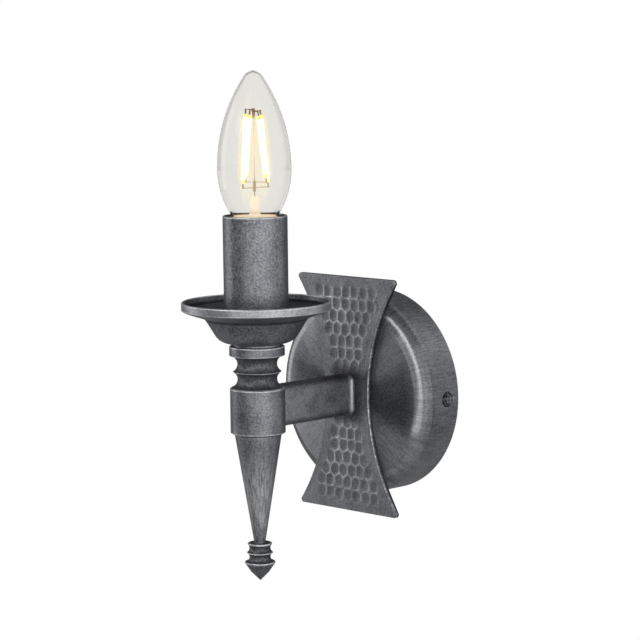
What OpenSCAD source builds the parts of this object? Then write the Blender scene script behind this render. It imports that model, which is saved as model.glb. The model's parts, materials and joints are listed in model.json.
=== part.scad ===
// Torch sconce: a wall light with one candle, in wrought and turned steel.
// Frame: the wall is the plane Y = 0, the room is at -Y, +X is right and +Z is up.
// The origin is the middle of the wall cup. All sizes are in millimetres.

/* [Wall cup] */
// Outer diameter of the cup
cup_d = 99.4; // [92:0.2:110]
// Depth from the wall to the flat seat in the middle of the front
cup_depth = 24.3; // [22:0.1:30]
// Outer radius of the rounded shoulder
shoulder_r = 7; // [5:0.5:9]
// Radius of the slight dome of the front
dome_r = 800; // [600:10:1200]
// Thickness of the spun sheet
cup_wall = 1; // [0.8:0.1:1.4]
// Distance of the side screws from the wall
side_screw_y = 8; // [7:0.5:10]
// Diameter of the holes for the side screws
side_hole_d = 7.6; // [7.2:0.1:8]

/* [Hammered plate] */
// Height of the plate
plate_h = 115.4; // [100:0.2:130]
// Width at its top and bottom ends, to the sharp corners
plate_end_w = 68; // [62:0.2:76]
// Width at its waist
plate_waist_w = 28.6; // [26:0.2:34]
// Thickness of the plate
plate_t = 2.05; // [1.6:0.05:3]
// Radius of its four corners
plate_corner_r = 1.6; // [1:0.1:3]
// Rows of hammer marks above the arm, and as many below it
mark_rows = 7; // [4:1:7]
// Height between two rows of marks
mark_row_pitch = 6.05; // [5.6:0.05:6.2]
// Diameter of one mark
mark_d = 5; // [3.6:0.1:5.1]
// Depth of one mark
mark_depth = 0.34; // [0.2:0.02:0.5]

/* [Arm and collar] */
// Distance from the wall to the axis of the torch
arm_reach = 86.2; // [78:0.2:110]
// Height of the arm's section
arm_h = 19.8; // [18:0.2:21]
// Thickness of the arm's section
arm_t = 11; // [10.4:0.2:13]
// Radius of the arm's long edges
arm_edge_r = 3.6; // [3:0.1:4.4]
// Wall of the hollow arm
arm_wall = 1.3; // [1:0.1:1.6]
// Outer diameter of the collar
collar_d = 26; // [24.4:0.2:28]
// Top of the collar
collar_top = 9.9; // [9.4:0.1:11]
// Bottom of the collar
collar_bottom = -12.2; // [-15:0.2:-12]

/* [Turned torch] */
// Height of the neck between the collar and the pan
neck_h = 20; // [19.4:0.2:22]
// Outer diameter of the drip pan
pan_d = 70.6; // [66:0.2:78]
// Height of the drip pan
pan_h = 21; // [20.6:0.2:23]
// Wall of the drip pan
pan_wall = 1.5; // [1.2:0.1:2]
// Length of the long taper below the collar
taper_l = 53; // [45:0.2:70]
// Diameter at the top of the taper
taper_top_d = 22.2; // [18:0.2:22.4]
// Diameter at the foot of the taper
taper_foot_d = 5.6; // [5.2:0.1:7]

/* [Candle and lamp] */
// Outer diameter of the candle tube
candle_d = 30.4; // [30:0.2:33]
// Length of the candle tube
candle_l = 58.1; // [57:0.1:66]
// Wall of the candle tube
candle_wall = 1; // [0.8:0.1:1.2]
// Largest diameter of the glass bulb
bulb_d = 34.6; // [34:0.2:35]
// Length of the bulb with its cap
bulb_l = 98; // [97:0.5:100]

/* [Wall bracket] */
// Distance between the two wall screws
wall_hole_spacing = 60; // [50:1:66]
// Diameter of the wall screw holes
wall_hole_d = 5; // [4:0.5:6]
// Width of the strap
strap_w = 22; // [18:1:26]
// Thickness of the bracket's sheet
strap_t = 1.5; // [1.2:0.1:2]

/* [Hidden] */
$fn = 96;
wire_sides = 8;

// finishes
pewter = [0.36, 0.37, 0.39];
zinc = [0.72, 0.73, 0.74];
brass = [0.78, 0.62, 0.32];
porcelain = [0.93, 0.92, 0.88];
phenolic = [0.16, 0.15, 0.15];
clear_glass = [0.85, 0.9, 0.92, 0.35];

// gaps
play = 0.1;      // radial play of a screw or rod in its hole
gap = 0.3;       // room between the bulb and what it sits in
past = 1;        // how far a cutting solid runs past a face

// wall cup
cup_r = cup_d / 2;
cup_hole_d = 8.4;
dome_base = cup_depth - dome_r + 0.09;   // the seat is the dome cut flat 0.09 below its crown
screw_head_proud = 1.2;
screw_head_d = 6.6;
m4 = 4;

// plate: each side is one arc through the waist and the two ends
plate_back = -cup_depth;
plate_front = plate_back - plate_t;
side_bow = (plate_end_w - plate_waist_w) / 2;
side_arc_r = (pow(plate_h / 2, 2) + pow(side_bow, 2)) / (2 * side_bow);
mark_first_z = 13.6;
mark_ball_r = (pow(mark_d / 2, 2) + pow(mark_depth, 2)) / (2 * mark_depth);
mark_stretch = 0.13;      // how much wider a row's spacing grows with each row
mark_column_pitch = 5.2;

// arm, collar and the hollow M8 nipple that holds them on the cup
axis_y = -arm_reach;
collar_r = collar_d / 2;
nipple_d = 8;
nipple_bore = 5.6;
arm_plug_l = 7.6;
arm_lip = 0.5;
arm_lip_l = 2.2;
washer_t = 1.2;
nut_t = 3.2;

// torch stack, upwards from the collar
rod_d = 9.9;
rod_bore = 7.4;
neck_bottom = collar_top;
neck_top = neck_bottom + neck_h;
pan_bottom = neck_top;
pan_floor_t = 3.3;
pan_floor = pan_bottom + pan_floor_t;
pan_r = pan_d / 2;
pan_washer_t = 0.8;
pan_nut_t = 3;
holder_bottom = pan_floor + pan_washer_t + pan_nut_t;
candle_r = candle_d / 2;
candle_top = pan_floor + candle_l;

// downwards from the collar
taper_bottom = collar_bottom - taper_l;
finial_h = 18.4;
tie_rod_d = 4;

// lampholder
holder_d = 24;
holder_floor = holder_bottom + 22.9;     // where the screw shell's chamber begins
holder_top = holder_floor + 24.4;
contact_leaf_t = 0.3;

// bulb, measured up from its contact
bulb_bottom = holder_floor + contact_leaf_t + gap;
bulb_top = bulb_bottom + bulb_l;
bulb_r = bulb_d / 2;
cap_r = 6.95;
cap_wall = 0.4;
neck_r = 7.9;
glass_t = 0.7;
glass_waist_z = bulb_bottom + 52.5;      // height of the largest diameter
tip_r = 5;
tip_z = bulb_top - tip_r;

// ---------------------------------------------------------------- shared shapes

// turns a profile of radius and height about the torch's axis
module turned() translate([0, axis_y, 0]) rotate_extrude() children();

// turns a profile of radius and distance from the wall about the cup's axis
module spun() rotate([90, 0, 0]) rotate_extrude() children();

// a rod along the cup's axis between two distances from the wall
module across(d, from, to) rotate([90, 0, 0]) translate([0, 0, from]) cylinder(d = d, h = to - from);

// a rod along the torch's axis between two heights
module upright(d, from, to) translate([0, axis_y, from]) cylinder(d = d, h = to - from);

// a pie slice of a disc, between two directions less than 180 degrees apart
module slice(r, a0, a1) {
    reach = 3 * r;
    intersection() {
        circle(r = r);
        polygon([[0, 0],
                 [reach * cos(a0), reach * sin(a0)],
                 [reach * cos((a0 + a1) / 2), reach * sin((a0 + a1) / 2)],
                 [reach * cos(a1), reach * sin(a1)]]);
    }
}

// the tip that rounding takes off a corner: the same slice's wedge, less its disc
module corner_tip(r, a0, a1) {
    reach = 3 * r;
    difference() {
        polygon([[0, 0],
                 [reach * cos(a0), reach * sin(a0)],
                 [reach * cos((a0 + a1) / 2), reach * sin((a0 + a1) / 2)],
                 [reach * cos(a1), reach * sin(a1)]]);
        circle(r = r);
    }
}

// points along an arc, from one direction to another
function arc(centre, r, a0, a1, steps) =
    [for (i = [0 : steps]) let (a = a0 + (a1 - a0) * i / steps) centre + r * [cos(a), sin(a)]];

// the same points in the opposite order
function reversed(list) = [for (i = [len(list) - 1 : -1 : 0]) list[i]];

// a rectangle with round corners, centred
module round_rect(w, h, r) {
    square([w - 2 * r, h], center = true);
    square([w, h - 2 * r], center = true);
    for (sx = [-1, 1], sy = [-1, 1])
        translate([sx * (w / 2 - r), sy * (h / 2 - r)])
            slice(r, atan2(sy, sx) - 45, atan2(sy, sx) + 45);
}

// a slotted screw along +Z: its head stands on Z = 0 and its shank hangs below
module slotted_screw(head_d, head_h, shank_d, shank_l, slot_w) {
    edge = head_h * 0.25;
    difference() {
        union() {
            translate([0, 0, -shank_l]) cylinder(d = shank_d, h = shank_l + head_h / 2);
            cylinder(d = head_d, h = head_h - edge);
            translate([0, 0, head_h - edge]) cylinder(d1 = head_d, d2 = head_d - 2 * edge, h = edge);
        }
        translate([-head_d, -slot_w / 2, head_h * 0.5]) cube([2 * head_d, slot_w, head_h]);
    }
}

// a flat washer or a nut's blank with a round hole, along +Z
module washer(d, bore, t) difference() {
    cylinder(d = d, h = t);
    translate([0, 0, -past]) cylinder(d = bore, h = t + 2 * past);
}

module hex_nut(flats, bore, t) difference() {
    cylinder(d = flats / cos(30), h = t, $fn = 6);
    translate([0, 0, -past]) cylinder(d = bore, h = t + 2 * past);
}

// ---------------------------------------------------------------- wall bracket

tab_outer = cup_r - cup_wall - 1.9;
tab_w = 16;
tab_reach = 14;
bend_r = strap_t + 1;
tongue_w = 32;
tongue_top = 33;
earth_screw_t = 2.4;

module bend_and_tab() {
    bend_x = tab_outer - bend_r;
    translate([bend_x, -bend_r]) difference() {
        slice(bend_r, 0, 90);
        circle(r = bend_r - strap_t);
    }
    translate([bend_x - 8, -strap_t]) square([8, strap_t]);
    translate([tab_outer - strap_t, -tab_reach]) square([strap_t, tab_reach - bend_r]);
}

module mounting_bracket() color(zinc) difference() {
    union() {
        translate([-(tab_outer - bend_r - 4), -strap_t, -strap_w / 2])
            cube([2 * (tab_outer - bend_r - 4), strap_t, strap_w]);
        for (side = [0, 1]) mirror([side, 0, 0])
            translate([0, 0, -tab_w / 2]) linear_extrude(tab_w) bend_and_tab();
        translate([0, 0, (tongue_top + 1) / 2]) rotate([90, 0, 0]) linear_extrude(strap_t)
            round_rect(tongue_w, tongue_top + 1 - 0.01, 3);
    }
    for (side = [-1, 1]) {
        translate([side * wall_hole_spacing / 2, 0, 0]) across(wall_hole_d, -past, strap_t + past);
        translate([side * (tab_outer - strap_t / 2), -side_screw_y, 0]) rotate([0, 90, 0])
            cylinder(d = m4, h = strap_t + 2 * past, center = true);
    }
    across(m4, -past, strap_t + past);
    translate([block_screw_x, 0, block_z]) across(3, -past, strap_t + past);
}

module earth_washer() color(brass)
    translate([0, -strap_t, 0]) rotate([90, 0, 0]) washer(9, m4 + 2 * play, 0.8);

// the earth wire's ring, clamped between the washer and the screw's head
ring_t = 0.8;
ring_y = -strap_t - 0.8;
module ring_terminal() color(zinc) translate([0, ring_y, 0]) rotate([90, 0, 0]) difference() {
    union() {
        cylinder(d = 8, h = ring_t);
        translate([-1.2, 0, 0]) cube([2.4, 9, ring_t]);
    }
    translate([0, 0, -past]) cylinder(d = m4 + 2 * play, h = ring_t + 2 * past);
}

module earth_screw() color(brass)
    translate([0, ring_y - ring_t, 0]) rotate([90, 0, 0])
        slotted_screw(7, earth_screw_t, m4 - 2 * play, 3, 1);

// ---------------------------------------------------------------- terminal block

pole_pitch = 9;
block_w = 28;
block_h = 16;
block_t = 9;
block_z = 23;
block_y = -strap_t - block_t / 2;
insert_d = 4.6;
insert_bore = 2.8;
block_screw_x = pole_pitch / 2;
block_head_d = 5;
terminal_dz = 4.2;
poles = [-pole_pitch, 0, pole_pitch];

module terminal_block() color(porcelain) difference() {
    translate([0, -strap_t, block_z]) rotate([90, 0, 0]) linear_extrude(block_t)
        round_rect(block_w, block_h, 1.2);
    for (x = poles) {
        translate([x, block_y, block_z - block_h]) cylinder(d = insert_d, h = 2 * block_h);
        for (dz = [-terminal_dz, terminal_dz])
            translate([x, 0, block_z + dz]) across(3.8, strap_t + block_t / 2, strap_t + block_t + past);
    }
    for (x = [-block_screw_x, block_screw_x]) {
        translate([x, 0, block_z]) across(3 + 2 * play, 0, strap_t + block_t + past);
        translate([x, 0, block_z])
            across(block_head_d + 2 * play, strap_t + block_t - 1.5, strap_t + block_t + past);
        translate([x, -strap_t - block_t, block_z]) cube([1.6, 3, block_h + 2 * past], center = true);
    }
}

module terminal_inserts() color(brass) for (x = poles) difference() {
    translate([x, block_y, block_z - block_h / 2 + 0.5]) cylinder(d = insert_d, h = block_h - 1);
    translate([x, block_y, block_z - block_h]) cylinder(d = insert_bore, h = 2 * block_h);
    for (dz = [-terminal_dz, terminal_dz])
        translate([x, 0, block_z + dz]) across(2.6, strap_t + block_t / 2, strap_t + block_t);
}

// each screw's tip rests on the wire in the insert
module terminal_screws() color(zinc) for (x = poles, dz = [-terminal_dz, terminal_dz])
    translate([x, block_y - insert_d / 2, block_z + dz]) rotate([90, 0, 0])
        slotted_screw(3.4, 1.6, 2.4, insert_d / 2 - wire_r, 0.7);

module block_screw() color(zinc)
    translate([block_screw_x, -strap_t - block_t + 1.5, block_z]) rotate([90, 0, 0])
        slotted_screw(block_head_d, 1.4, 2.8, block_t - 1.5 + strap_t - 0.1, 0.8);

// ---------------------------------------------------------------- wall cup

// the cup's outline in radius and distance from the wall, from its rim round the shoulder to the
// flat seat in the middle, drawn inwards by an inset
function cup_outline(inset) =
    let (cx = cup_r - shoulder_r,
         cy = dome_base + sqrt(pow(dome_r - shoulder_r, 2) - pow(cx, 2)),
         lean = atan2(cx, cy - dome_base),
         seat_lean = acos((cup_depth - inset - dome_base) / (dome_r - inset)))
    concat([[cup_r - inset, 0]],
           arc([cx, cy], shoulder_r - inset, 0, 90 - lean, 14),
           arc([0, dome_base], dome_r - inset, 90 - lean + 0.2, 90 - seat_lean, 8),
           [[0, cup_depth - inset]]);

module wall_cup() color(pewter) difference() {
    spun() polygon(concat(cup_outline(0), reversed(cup_outline(cup_wall))));
    across(cup_hole_d, cup_depth - 3, cup_depth + past);
    for (side = [-1, 1]) translate([side * cup_r, -side_screw_y, 0]) rotate([0, 90, 0])
        cylinder(d = side_hole_d, h = 4, center = true);
}

module side_screws() color(zinc) for (side = [0, 1]) mirror([side, 0, 0])
    translate([tab_outer, -side_screw_y, 0]) rotate([0, 90, 0]) rotate([0, 0, 82])
        slotted_screw(screw_head_d, cup_r + screw_head_proud - tab_outer, m4 - 2 * play, 7, 1);

// ---------------------------------------------------------------- hammered plate

module plate_outline() {
    arc_x = plate_waist_w / 2 + side_arc_r;
    // each corner's disc touches both the end of the plate and the side arc
    corner_z = plate_h / 2 - plate_corner_r;
    corner_x = arc_x - sqrt(pow(side_arc_r + plate_corner_r, 2) - pow(corner_z, 2));
    tilt = atan2(corner_z, arc_x - corner_x);
    difference() {
        square([plate_end_w, plate_h], center = true);
        for (side = [-1, 1]) translate([side * arc_x, 0]) circle(r = side_arc_r, $fn = 256);
        for (flip_x = [0, 1], flip_z = [0, 1]) mirror([flip_x, 0]) mirror([0, flip_z])
            translate([corner_x, corner_z]) corner_tip(plate_corner_r, -tilt, 90);
    }
}

function row_marks(row) = 3 + round(0.7 * row);
function row_pitch(row) = mark_column_pitch + mark_stretch * row;

module hammer_marks() for (up = [-1, 1], row = [0 : mark_rows - 1]) {
    marks = row_marks(row);
    for (column = [0 : marks - 1])
        translate([(column - (marks - 1) / 2) * row_pitch(row),
                   plate_front - mark_ball_r + mark_depth,
                   up * (mark_first_z + row * mark_row_pitch)])
            sphere(r = mark_ball_r);
}

module hammered_plate() color(pewter) difference() {
    translate([0, plate_back, 0]) rotate([90, 0, 0]) linear_extrude(plate_t) plate_outline();
    across(cup_hole_d, cup_depth - past, cup_depth + plate_t + past);
    hammer_marks();
}

// ---------------------------------------------------------------- arm

module arm() color(pewter) difference() {
    union() {
        translate([0, plate_front, 0]) rotate([90, 0, 0])
            linear_extrude(arm_reach + plate_front) round_rect(arm_t, arm_h, arm_edge_r);
        translate([0, plate_front, 0]) rotate([90, 0, 0]) linear_extrude(arm_lip_l)
            round_rect(arm_t + 2 * arm_lip, arm_h + arm_lip, arm_edge_r + arm_lip / 2);
    }
    translate([0, plate_front - arm_plug_l, 0]) rotate([90, 0, 0]) linear_extrude(arm_reach)
        round_rect(arm_t - 2 * arm_wall, arm_h - 2 * arm_wall, arm_edge_r - arm_wall);
    across(nipple_d, cup_depth, arm_reach - collar_r);
    upright(collar_d, -arm_h, arm_h);
}

nipple_end = cup_depth + plate_t + arm_plug_l - 0.5;
module arm_nipple() color(zinc) difference() {
    across(nipple_d, cup_depth - 9, nipple_end);
    across(nipple_bore, cup_depth - 9 - past, nipple_end + past);
}

module arm_washer() color(zinc)
    translate([0, -(cup_depth - cup_wall - washer_t), 0]) rotate([90, 0, 0])
        washer(16, nipple_d + 2 * play, washer_t);

module arm_nut() color(zinc)
    translate([0, -(cup_depth - cup_wall - washer_t - nut_t), 0]) rotate([90, 0, 0])
        hex_nut(13, nipple_d, nut_t);

// ---------------------------------------------------------------- collar and turned parts

collar_lid = 3.4;
collar_chamfer = [1.8, 0.9];

module socket_collar() color(pewter) difference() {
    turned() difference() {
        polygon([[0, collar_bottom], [collar_r - collar_chamfer[0], collar_bottom],
                 [collar_r, collar_bottom + collar_chamfer[1]],
                 [collar_r, collar_top - 0.3], [collar_r - 0.3, collar_top], [0, collar_top]]);
        polygon([[0, collar_bottom + 4], [collar_r - 3, collar_bottom + 4],
                 [collar_r - 3, collar_top - collar_lid], [0, collar_top - collar_lid]]);
    }
    upright(rod_d, 0, collar_top + past);
    upright(tie_rod_d, collar_bottom - past, 0);
    // the window that lets the wires in from the arm
    translate([0, axis_y, -1.2]) rotate([-90, 0, 0]) linear_extrude(collar_d)
        round_rect(arm_t - 2 * arm_wall, 13, 2);
}

cove_r = 4.05;
cove_depth_r = 9.35;     // smallest radius of the neck
flange_r = 13.1;

module stem_neck() color(pewter) turned() difference() {
    polygon([[rod_d / 2 + play, neck_bottom], [12.6, neck_bottom], [12.6, neck_bottom + 7.8],
             [flange_r, neck_bottom + 7.8], [flange_r, neck_top - 0.3], [flange_r - 0.3, neck_top],
             [rod_d / 2 + play, neck_top]]);
    for (z = [4.2, 11.4])
        translate([cove_depth_r + cove_r, neck_bottom + z]) circle(r = cove_r);
}

module stem_rod() color(zinc) difference() {
    upright(rod_d, collar_top - collar_lid - 2, holder_bottom + 6);
    upright(rod_bore, 0, holder_bottom + 6 + past);
}

module tie_rod() color(zinc)
    upright(tie_rod_d - 2 * play, taper_bottom - 7, collar_bottom + 6);

module taper_cone() color(pewter) turned() difference() {
    polygon([[0, collar_bottom], [taper_top_d / 2, collar_bottom],
             [taper_foot_d / 2, taper_bottom + 2], [taper_foot_d / 2, taper_bottom], [0, taper_bottom]]);
    square([tie_rod_d, 4 * taper_l], center = true);
}

// rings, coves and the point of the turned end, down from the dish that takes the taper's foot
module finial() color(pewter) difference() {
    turned() translate([0, taper_bottom]) difference() {
        polygon([[0, 0], [taper_foot_d / 2, 0], [5.5, 1], [5.75, 0.8], [5.75, -0.1],
                 [6.2, -3.8], [6.2, -4.1], [7.25, -8.2], [7.3, -8.7],
                 [4.3, 1.4 - finial_h + 3.9], [0, 1 - finial_h]]);
        for (z = [-1.6, -5.9]) translate([7.6, z]) circle(r = 2.6);
    }
    upright(tie_rod_d, taper_bottom - 8, taper_bottom + past);
}

// ---------------------------------------------------------------- drip pan

boss_r = 11.2;           // the boss that keeps the bowl off the neck's flange
boss_h = 1.4;
bowl_foot_r = 8;         // radius of the bowl's round foot
bowl_foot_x = 12.8;
bowl_lean = 34;          // how far the bowl's side leans out
bowl_rim = [23.9, 12.3]; // where the bowl's side turns into the ledge
ledge_rise = 21.5;       // slope of the ledge

// outline of the pan's outside, from the axis round the foot and up to the lip
pan_outside = concat(
    [[0, 0], [boss_r, 0], [boss_r, boss_h]],
    arc([bowl_foot_x, boss_h + bowl_foot_r], bowl_foot_r, -90, -bowl_lean, 8),
    arc(bowl_rim + [2.6, -1.6], 3.05, 180 - bowl_lean, 90 + ledge_rise, 5),
    [[33.9, 16.4], [pan_r, 17.2], [pan_r, pan_h - 0.4], [pan_r - 0.4, pan_h]]);

// the hollow of the pan: floor, bowl, ledge and the inside of the lip
pan_hollow = concat(
    [[0, pan_floor_t], [15.4, pan_floor_t], [17, 4.6]],
    arc(bowl_rim + [2.6, -1.6], 3.05 + pan_wall, 180 - bowl_lean, 90 + ledge_rise, 5),
    [[33, 17.6], [pan_r - pan_wall, 18.2], [pan_r - pan_wall + 0.4, pan_h]]);

module drip_pan() color(pewter) turned() translate([0, pan_bottom]) difference() {
    polygon(concat(pan_outside, reversed(pan_hollow)));
    square([rod_d + 2 * play, 2 * pan_h], center = true);
}

module pan_washer() color(zinc)
    translate([0, axis_y, pan_floor]) washer(20, rod_d + 2 * play, pan_washer_t);

module pan_nut() color(zinc)
    translate([0, axis_y, pan_floor + pan_washer_t]) hex_nut(14, rod_d, pan_nut_t);

module candle_tube() color(pewter) turned() polygon(concat(
    [[candle_r - candle_wall, candle_top], [candle_r - candle_wall, pan_floor], [candle_r, pan_floor]],
    arc([candle_r - 0.6, candle_top - 0.6], 0.6, 0, 90, 6)));

// ---------------------------------------------------------------- lampholder

holder_cell_bottom = holder_bottom + 6;
holder_cell_top = holder_floor - 4;
terminal_x = 6.6;
terminal_z = holder_cell_top - 3.4;
strip_r = 8.4;
rib_r = candle_r - candle_wall - play;
thread_r = cap_r + gap + 0.1;
thread_t = 0.6;
pocket_h = 3;            // chamber round the centre contact, below the screw shell
thread_l = 15.2;

module holder_base() color(phenolic) difference() {
    turned() difference() {
        polygon([[rod_d / 2, holder_bottom], [11.4, holder_bottom], [holder_d / 2, holder_bottom + 0.6],
                 [holder_d / 2, holder_floor], [0, holder_floor], [0, holder_cell_bottom],
                 [rod_d / 2, holder_cell_bottom]]);
        translate([0, holder_cell_bottom]) square([10, holder_cell_top - holder_cell_bottom]);
    }
    // slots for the two contact strips, and the holes that a screwdriver reaches in by
    for (side = [-1, 1]) {
        translate([side * strip_r, axis_y, holder_floor]) cube([1, 3.4, 12], center = true);
        translate([side * 9, axis_y, terminal_z]) rotate([0, 90, 0])
            cylinder(d = 4.4, h = 9, center = true);
    }
}

module holder_skirt() color(phenolic) {
    turned() difference() {
        polygon([[0, holder_floor], [holder_d / 2, holder_floor], [holder_d / 2, holder_top - 0.8],
                 [holder_d / 2 - 0.8, holder_top], [0, holder_top]]);
        translate([0, holder_floor]) square([strip_r + 0.6, pocket_h]);
        translate([0, holder_floor]) square([thread_r + thread_t, pocket_h + thread_l]);
        translate([0, holder_floor + pocket_h + thread_l]) square([skirt_r + 0.7, 10]);
    }
    for (turn = [45 : 90 : 315]) translate([0, axis_y, holder_floor]) rotate([0, 0, turn])
        translate([holder_d / 2 - 0.5, -0.8, 0]) cube([rib_r - holder_d / 2 + 0.4, 1.6, 12]);
}

module holder_thread() color(zinc) turned()
    translate([thread_r, holder_floor + pocket_h]) square([thread_t, thread_l]);

// a springy leaf under the cap's contact, with a leg down to its terminal
module centre_contact() color(brass) {
    translate([-strip_r - 0.2, axis_y - 1.5, holder_floor]) cube([strip_r + 3, 3, contact_leaf_t]);
    translate([-strip_r - 0.2, axis_y - 1.5, terminal_z + 3]) cube([0.4, 3, holder_floor - terminal_z - 3]);
}

// a strip from the screw shell down to its terminal
module side_contact() color(brass) {
    foot_t = 0.6;
    translate([strip_r - 0.2, axis_y - 1.5, terminal_z + 3])
        cube([0.4, 3, holder_floor + pocket_h - terminal_z - 3]);
    translate([thread_r, axis_y - 1.5, holder_floor + pocket_h - foot_t])
        cube([strip_r + 0.2 - thread_r, 3, foot_t]);
}

module holder_terminals() color(brass) for (side = [-1, 1]) difference() {
    translate([side * terminal_x, axis_y, terminal_z]) cube([4.4, 5, 6], center = true);
    translate([side * (terminal_x - 0.6), axis_y, terminal_z])
        cylinder(d = 2 * wire_r + 0.2, h = 8, center = true);
    translate([side * (terminal_x + 2), axis_y, terminal_z]) rotate([0, 90, 0])
        cylinder(d = 2.6, h = 4, center = true);
}

module holder_screws() color(zinc) for (side = [0, 1])
    translate([0, axis_y, terminal_z]) mirror([side, 0, 0])
        translate([terminal_x + 2.2, 0, 0]) rotate([0, 90, 0])
            slotted_screw(3.6, 1.4, 2.4, 2.8 - wire_r, 0.7);

// ---------------------------------------------------------------- wires

wire_r = 0.9;

// a point of a smooth curve through p1 and p2, with p0 and p3 as its neighbours
function between(p0, p1, p2, p3, t) =
    0.5 * (2 * p1 + (p2 - p0) * t + (2 * p0 - 5 * p1 + 4 * p2 - p3) * t * t
           + (3 * p1 - p0 - 3 * p2 + p3) * t * t * t);

function smooth_route(p, steps) = let (last = len(p) - 1) concat(
    [for (i = [0 : last - 1], s = [0 : steps - 1])
        between(p[max(i - 1, 0)], p[i], p[i + 1], p[min(i + 2, last)], s / steps)],
    [p[last]]);

function unit(v) = v / norm(v);

// a round wire along a route that never runs straight along X
module wire(route, r) {
    count = len(route);
    rings = [for (i = [0 : count - 1])
        let (along = unit(route[min(i + 1, count - 1)] - route[max(i - 1, 0)]),
             side = unit(cross([1, 0, 0], along)), other = cross(along, side))
        for (k = [0 : wire_sides - 1])
            route[i] + r * (cos(360 * k / wire_sides) * side + sin(360 * k / wire_sides) * other)];
    walls = [for (i = [0 : count - 2], k = [0 : wire_sides - 1])
        let (next = (k + 1) % wire_sides, a = i * wire_sides, b = a + wire_sides)
        [a + k, b + k, b + next, a + next]];
    start = [[for (k = [0 : wire_sides - 1]) k]];
    end = [[for (k = [wire_sides - 1 : -1 : 0]) (count - 1) * wire_sides + k]];
    polyhedron(rings, concat(walls, start, end));
}

// from a pole of the terminal block through nipple, arm, collar and rod to the lampholder
pair_route = [
    [-9, block_y, 27], [-9, block_y, 20], [-9, block_y, 13], [-8.6, -6.8, 7], [-6.4, -9, 2],
    [-3.4, -12, 0], [-1.4, -16, 0], [-1.2, -20, 0], [-1.2, -28, 0], [-1.2, -36, 0],
    [-1.2, -50, 0], [-1.2, -66, 0], [-1.2, axis_y + 11, -0.4], [-1.3, axis_y + 6, 0.4],
    [-1.4, axis_y + 2, 3.4], [-1.5, axis_y, 8], [-1.5, axis_y, 13], [-1.5, axis_y, 28],
    [-1.6, axis_y, 38], [-2.1, axis_y, 42], [-4, axis_y, 45], [-5.8, axis_y, 47.4],
    [-6, axis_y, 49.2], [-6, axis_y, 51.5], [-6, axis_y, 54]
];

module wire_of_pair() wire(smooth_route(pair_route, 3), wire_r);

module live_wire() color([0.36, 0.2, 0.12]) wire_of_pair();

module neutral_wire() color([0.12, 0.25, 0.6]) mirror([1, 0, 0]) wire_of_pair();

// from the middle pole down to the ring under the earth screw
earth_route = [
    [0, block_y, 27], [0, block_y, 20], [0, block_y, 14.6], [0, block_y - 0.4, 12.4],
    [0, -4.9, 10.4], [0, -3.6 - wire_r, 8.4], [0, -3.1 - wire_r, 6]
];

module earth_wire() color([0.35, 0.6, 0.15]) wire(smooth_route(earth_route, 3), wire_r);

// ---------------------------------------------------------------- bulb

skirt_r = 8.4;
shell_bottom = bulb_bottom + 4.5;
shell_top = bulb_bottom + 18.5;
skirt_top = bulb_bottom + 25;

module bulb_cap() color(zinc) turned() difference() {
    polygon([[0, shell_bottom], [cap_r, shell_bottom], [cap_r, shell_top], [skirt_r, shell_top + 1.5],
             [skirt_r, skirt_top], [0, skirt_top]]);
    polygon([[0, shell_bottom - past], [cap_r - cap_wall, shell_bottom - past],
             [cap_r - cap_wall, shell_top + 0.3], [neck_r, shell_top + 2.4], [neck_r, skirt_top + past],
             [0, skirt_top + past]]);
}

module cap_insulator() color(phenolic) turned() difference() {
    polygon([[1.2, bulb_bottom + 0.8], [3.2, bulb_bottom + 0.8], [6.2, shell_bottom - 0.6],
             [6.2, shell_bottom], [cap_r - cap_wall, shell_bottom], [cap_r - cap_wall, shell_bottom + 1.5],
             [1.2, shell_bottom + 1.5]]);
}

module cap_contact() color(zinc) turned()
    polygon([[0, bulb_bottom], [1.8, bulb_bottom], [2.6, bulb_bottom + 0.5], [2.6, bulb_bottom + 0.8],
             [1.2, bulb_bottom + 0.8], [1.2, bulb_bottom + 3], [0, bulb_bottom + 3]]);

// the small circuit board in the cap, with its rectifier and capacitor
module bulb_driver() color([0.2, 0.4, 0.25]) translate([0, axis_y, shell_bottom + 1.5]) {
    translate([-5, -0.5, 0]) cube([10, 1, 11]);
    translate([-4, -2.3, 3]) cube([5, 1.8, 4]);
    translate([0.5, 2.9, 2]) cylinder(d = 5, h = 8);
}

// outline of the glass from its neck, by a short arc and a long one, to the ball of its tip,
// each touching the next, drawn inwards by an inset
function glass_outline(inset) =
    let (rise = tip_z - glass_waist_z,
         a = (rise * rise - pow(bulb_r - tip_r, 2)) / (2 * (bulb_r - tip_r)),
         lean = atan2(rise, a),
         lower_r = 40.5,
         neck_angle = acos((lower_r - bulb_r + neck_r) / lower_r))
    concat([[neck_r - inset, shell_top + 2.4]],
           arc([bulb_r - lower_r, glass_waist_z], lower_r - inset, -neck_angle, 0, 14),
           arc([-a, glass_waist_z], bulb_r + a - inset, 1.5, lean, 18),
           arc([0, tip_z], tip_r - inset, lean + 8, 90, 7));

module bulb_glass() color(clear_glass) turned()
    polygon(concat(glass_outline(0), reversed(glass_outline(glass_t))));

// the glass mount: a flare sealed in the neck, and a tube drawn up to a pinch
stem_foot = shell_top + 3;
pinch_top = stem_foot + 18.5;
module bulb_stem() color(clear_glass) turned()
    polygon([[0, stem_foot], [neck_r - glass_t, stem_foot], [neck_r - glass_t, stem_foot + 1],
             [4.4, stem_foot + 2.2], [3.2, stem_foot + 5], [2.6, stem_foot + 9], [2.2, pinch_top - 1.5],
             [1.2, pinch_top], [0, pinch_top]]);

// foot and head of each filament, out from the bulb's axis and up from its contact
filament_feet = [[-2.5, -5, 45.6], [-4.8, -1.1, 48.3], [5.6, 2.1, 48.3], [2.7, 6.1, 45.8]];
filament_heads = [[-1.6, -3.6, 78], [-3.2, 0.5, 77.4], [3.3, -0.1, 77], [0.6, 4, 77.2]];
filament_d = 1.8;

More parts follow.
